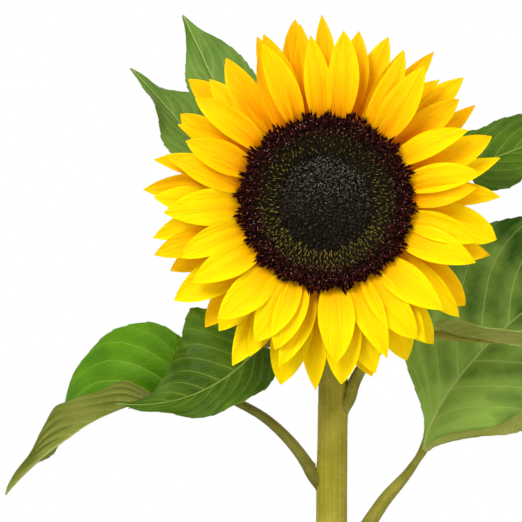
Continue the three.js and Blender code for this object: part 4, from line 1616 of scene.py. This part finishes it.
scatter("floret_buds", bud, places(0, 28), bud_charcoal, size=0.85)
scatter("bud_down", strand, places(0, 25, 4), down_grey, size=0.9, rough=40, bright=0.22,
                tips=0.12, stray=1.3, lift=0.9, painted_top_light=0.5)
scatter("florets_open", open_floret, places(37.5, RIM), open_maroon, size=0.85, rough=16,
                bright=0.15, tips=0.05)
scatter("floret_chaff", chaff, places(29, 40, 3), chaff_olive, size=0.9, bright=0.15,
                tips=0.42, lean_more=-38, stray=0.9, lift=1.0, painted_top_light=-0.3)
scatter("floret_awns", strand, places(36, 45.5, 3), awn_maroon, size=1.25, rough=30,
                bright=0.3, tips=0.2, stray=1.3, lift=1.4)
scatter("floret_fringe", spike, places(44.5, RIM, 3), open_maroon, size=0.9, rough=22,
                bright=0.05, tips=0.0, lean_more=6, stray=1.4, lift=0.2)
chosen = places(35, 46)
chosen = chosen[wobble(chosen, 42) > 0.1]
scatter("floret_specks", speck, chosen, speck_pink, size=0.8, rough=30, bright=0.3,
                tips=0.1, stray=1.0, lift=4.3)
print("florets and their parts stand on", FLORETS, "places")

# %% [markdown]
# ## Hairs
# Stem and stalks carry short stiff hairs, which give the plant its soft pale
# outline. A hair system would be quicker to set up but is dropped on export. So
# each hair is a slim three-sided cone, and all the hairs of one limb are a mesh.

# %% Hair blank and rule
ROOTED = 0.1

deselect()
bpy.ops.mesh.primitive_cone_add(vertices=3, radius1=1, radius2=0, depth=1, location=(0, 0, 0.5))
cone = bpy.context.object
bpy.ops.object.transform_apply(location=True)
hair_blank, hair_faces = read_blank(cone)


def hair_mesh(name, skin, leaning, lengths, thick):
    """Hairs that stand at the skin's points and lean the given way, lengths in mm."""
    roots, outs = skin - leaning * ROOTED, unit(leaning)
    first = unit(np.cross(outs, [0.31, 0.57, 0.76]))
    second = np.cross(outs, first)
    x, y, z = (hair_blank[None, :, k, None] for k in range(3))
    copies = roots[:, None] + (first[:, None] * x + second[:, None] * y) * thick
    copies = copies + outs[:, None] * z * lengths[:, None, None]
    joined_copies(name, hair_faces, list(copies), {}, [hair_pale])
    print(name, "hairs:", len(roots))


print("faces of a hair:", len(hair_faces))

# %% [markdown]
# The stem's hairs stand out from its axis, each leaning its own way and most of
# them a little upward. They cover it evenly from just above the foot to the neck,
# because a bare stretch would show against a pale background.

# %% Stem hairs
STEM_HAIRS, STEM_HAIR_THICK = 5200, 0.07

number = np.arange(STEM_HAIRS)
f = 0.012 + 0.93 * (0.5 + 0.5 * wobble(number, 21))
skin, z, radius = stem_surface(f, math.pi * wobble(number, 22))
stray = np.stack([wobble(number, 23), wobble(number, 24), 0.6 + 0.4 * wobble(number, 25)], -1)
leaning = unit(skin - along_course(stem_course, f)) + 0.45 * stray
lengths = 1.5 + 0.7 * wobble(number, 26)
hair_mesh("stem_hairs", skin, leaning, lengths, STEM_HAIR_THICK)
print("mean length of a stem hair:", round(float(lengths.mean()), 2), "mm")

# %% [markdown]
# The stalks' hairs are shorter and stop before the blade begins. Each stalk draws
# its own numbers, so that no two carry the same pattern.

# %% Stalk hairs
FINE_HAIRS, PLAIN_HAIRS, STALK_HAIR_THICK = 420, 160, 0.06

for k, rule in enumerate(LEAVES):
    number = np.arange(FINE_HAIRS if rule["fine"] else PLAIN_HAIRS) + 1000 * k
    f = 0.06 + 0.62 * (0.5 + 0.5 * wobble(number, 31))
    skin, s, radius, centre = stalk_surface(rule, f, math.pi * wobble(number, 32))
    stray = np.stack([wobble(number, 33 + axis) for axis in range(3)], -1)
    leaning = unit(skin - centre) + 0.4 * stray
    lengths = 1.0 + 0.45 * wobble(number, 36)
    hair_mesh("hairs_" + rule["name"], skin, leaning, lengths, STALK_HAIR_THICK)
print("mean length of a stalk hair:", round(float(lengths.mean()), 2), "mm")
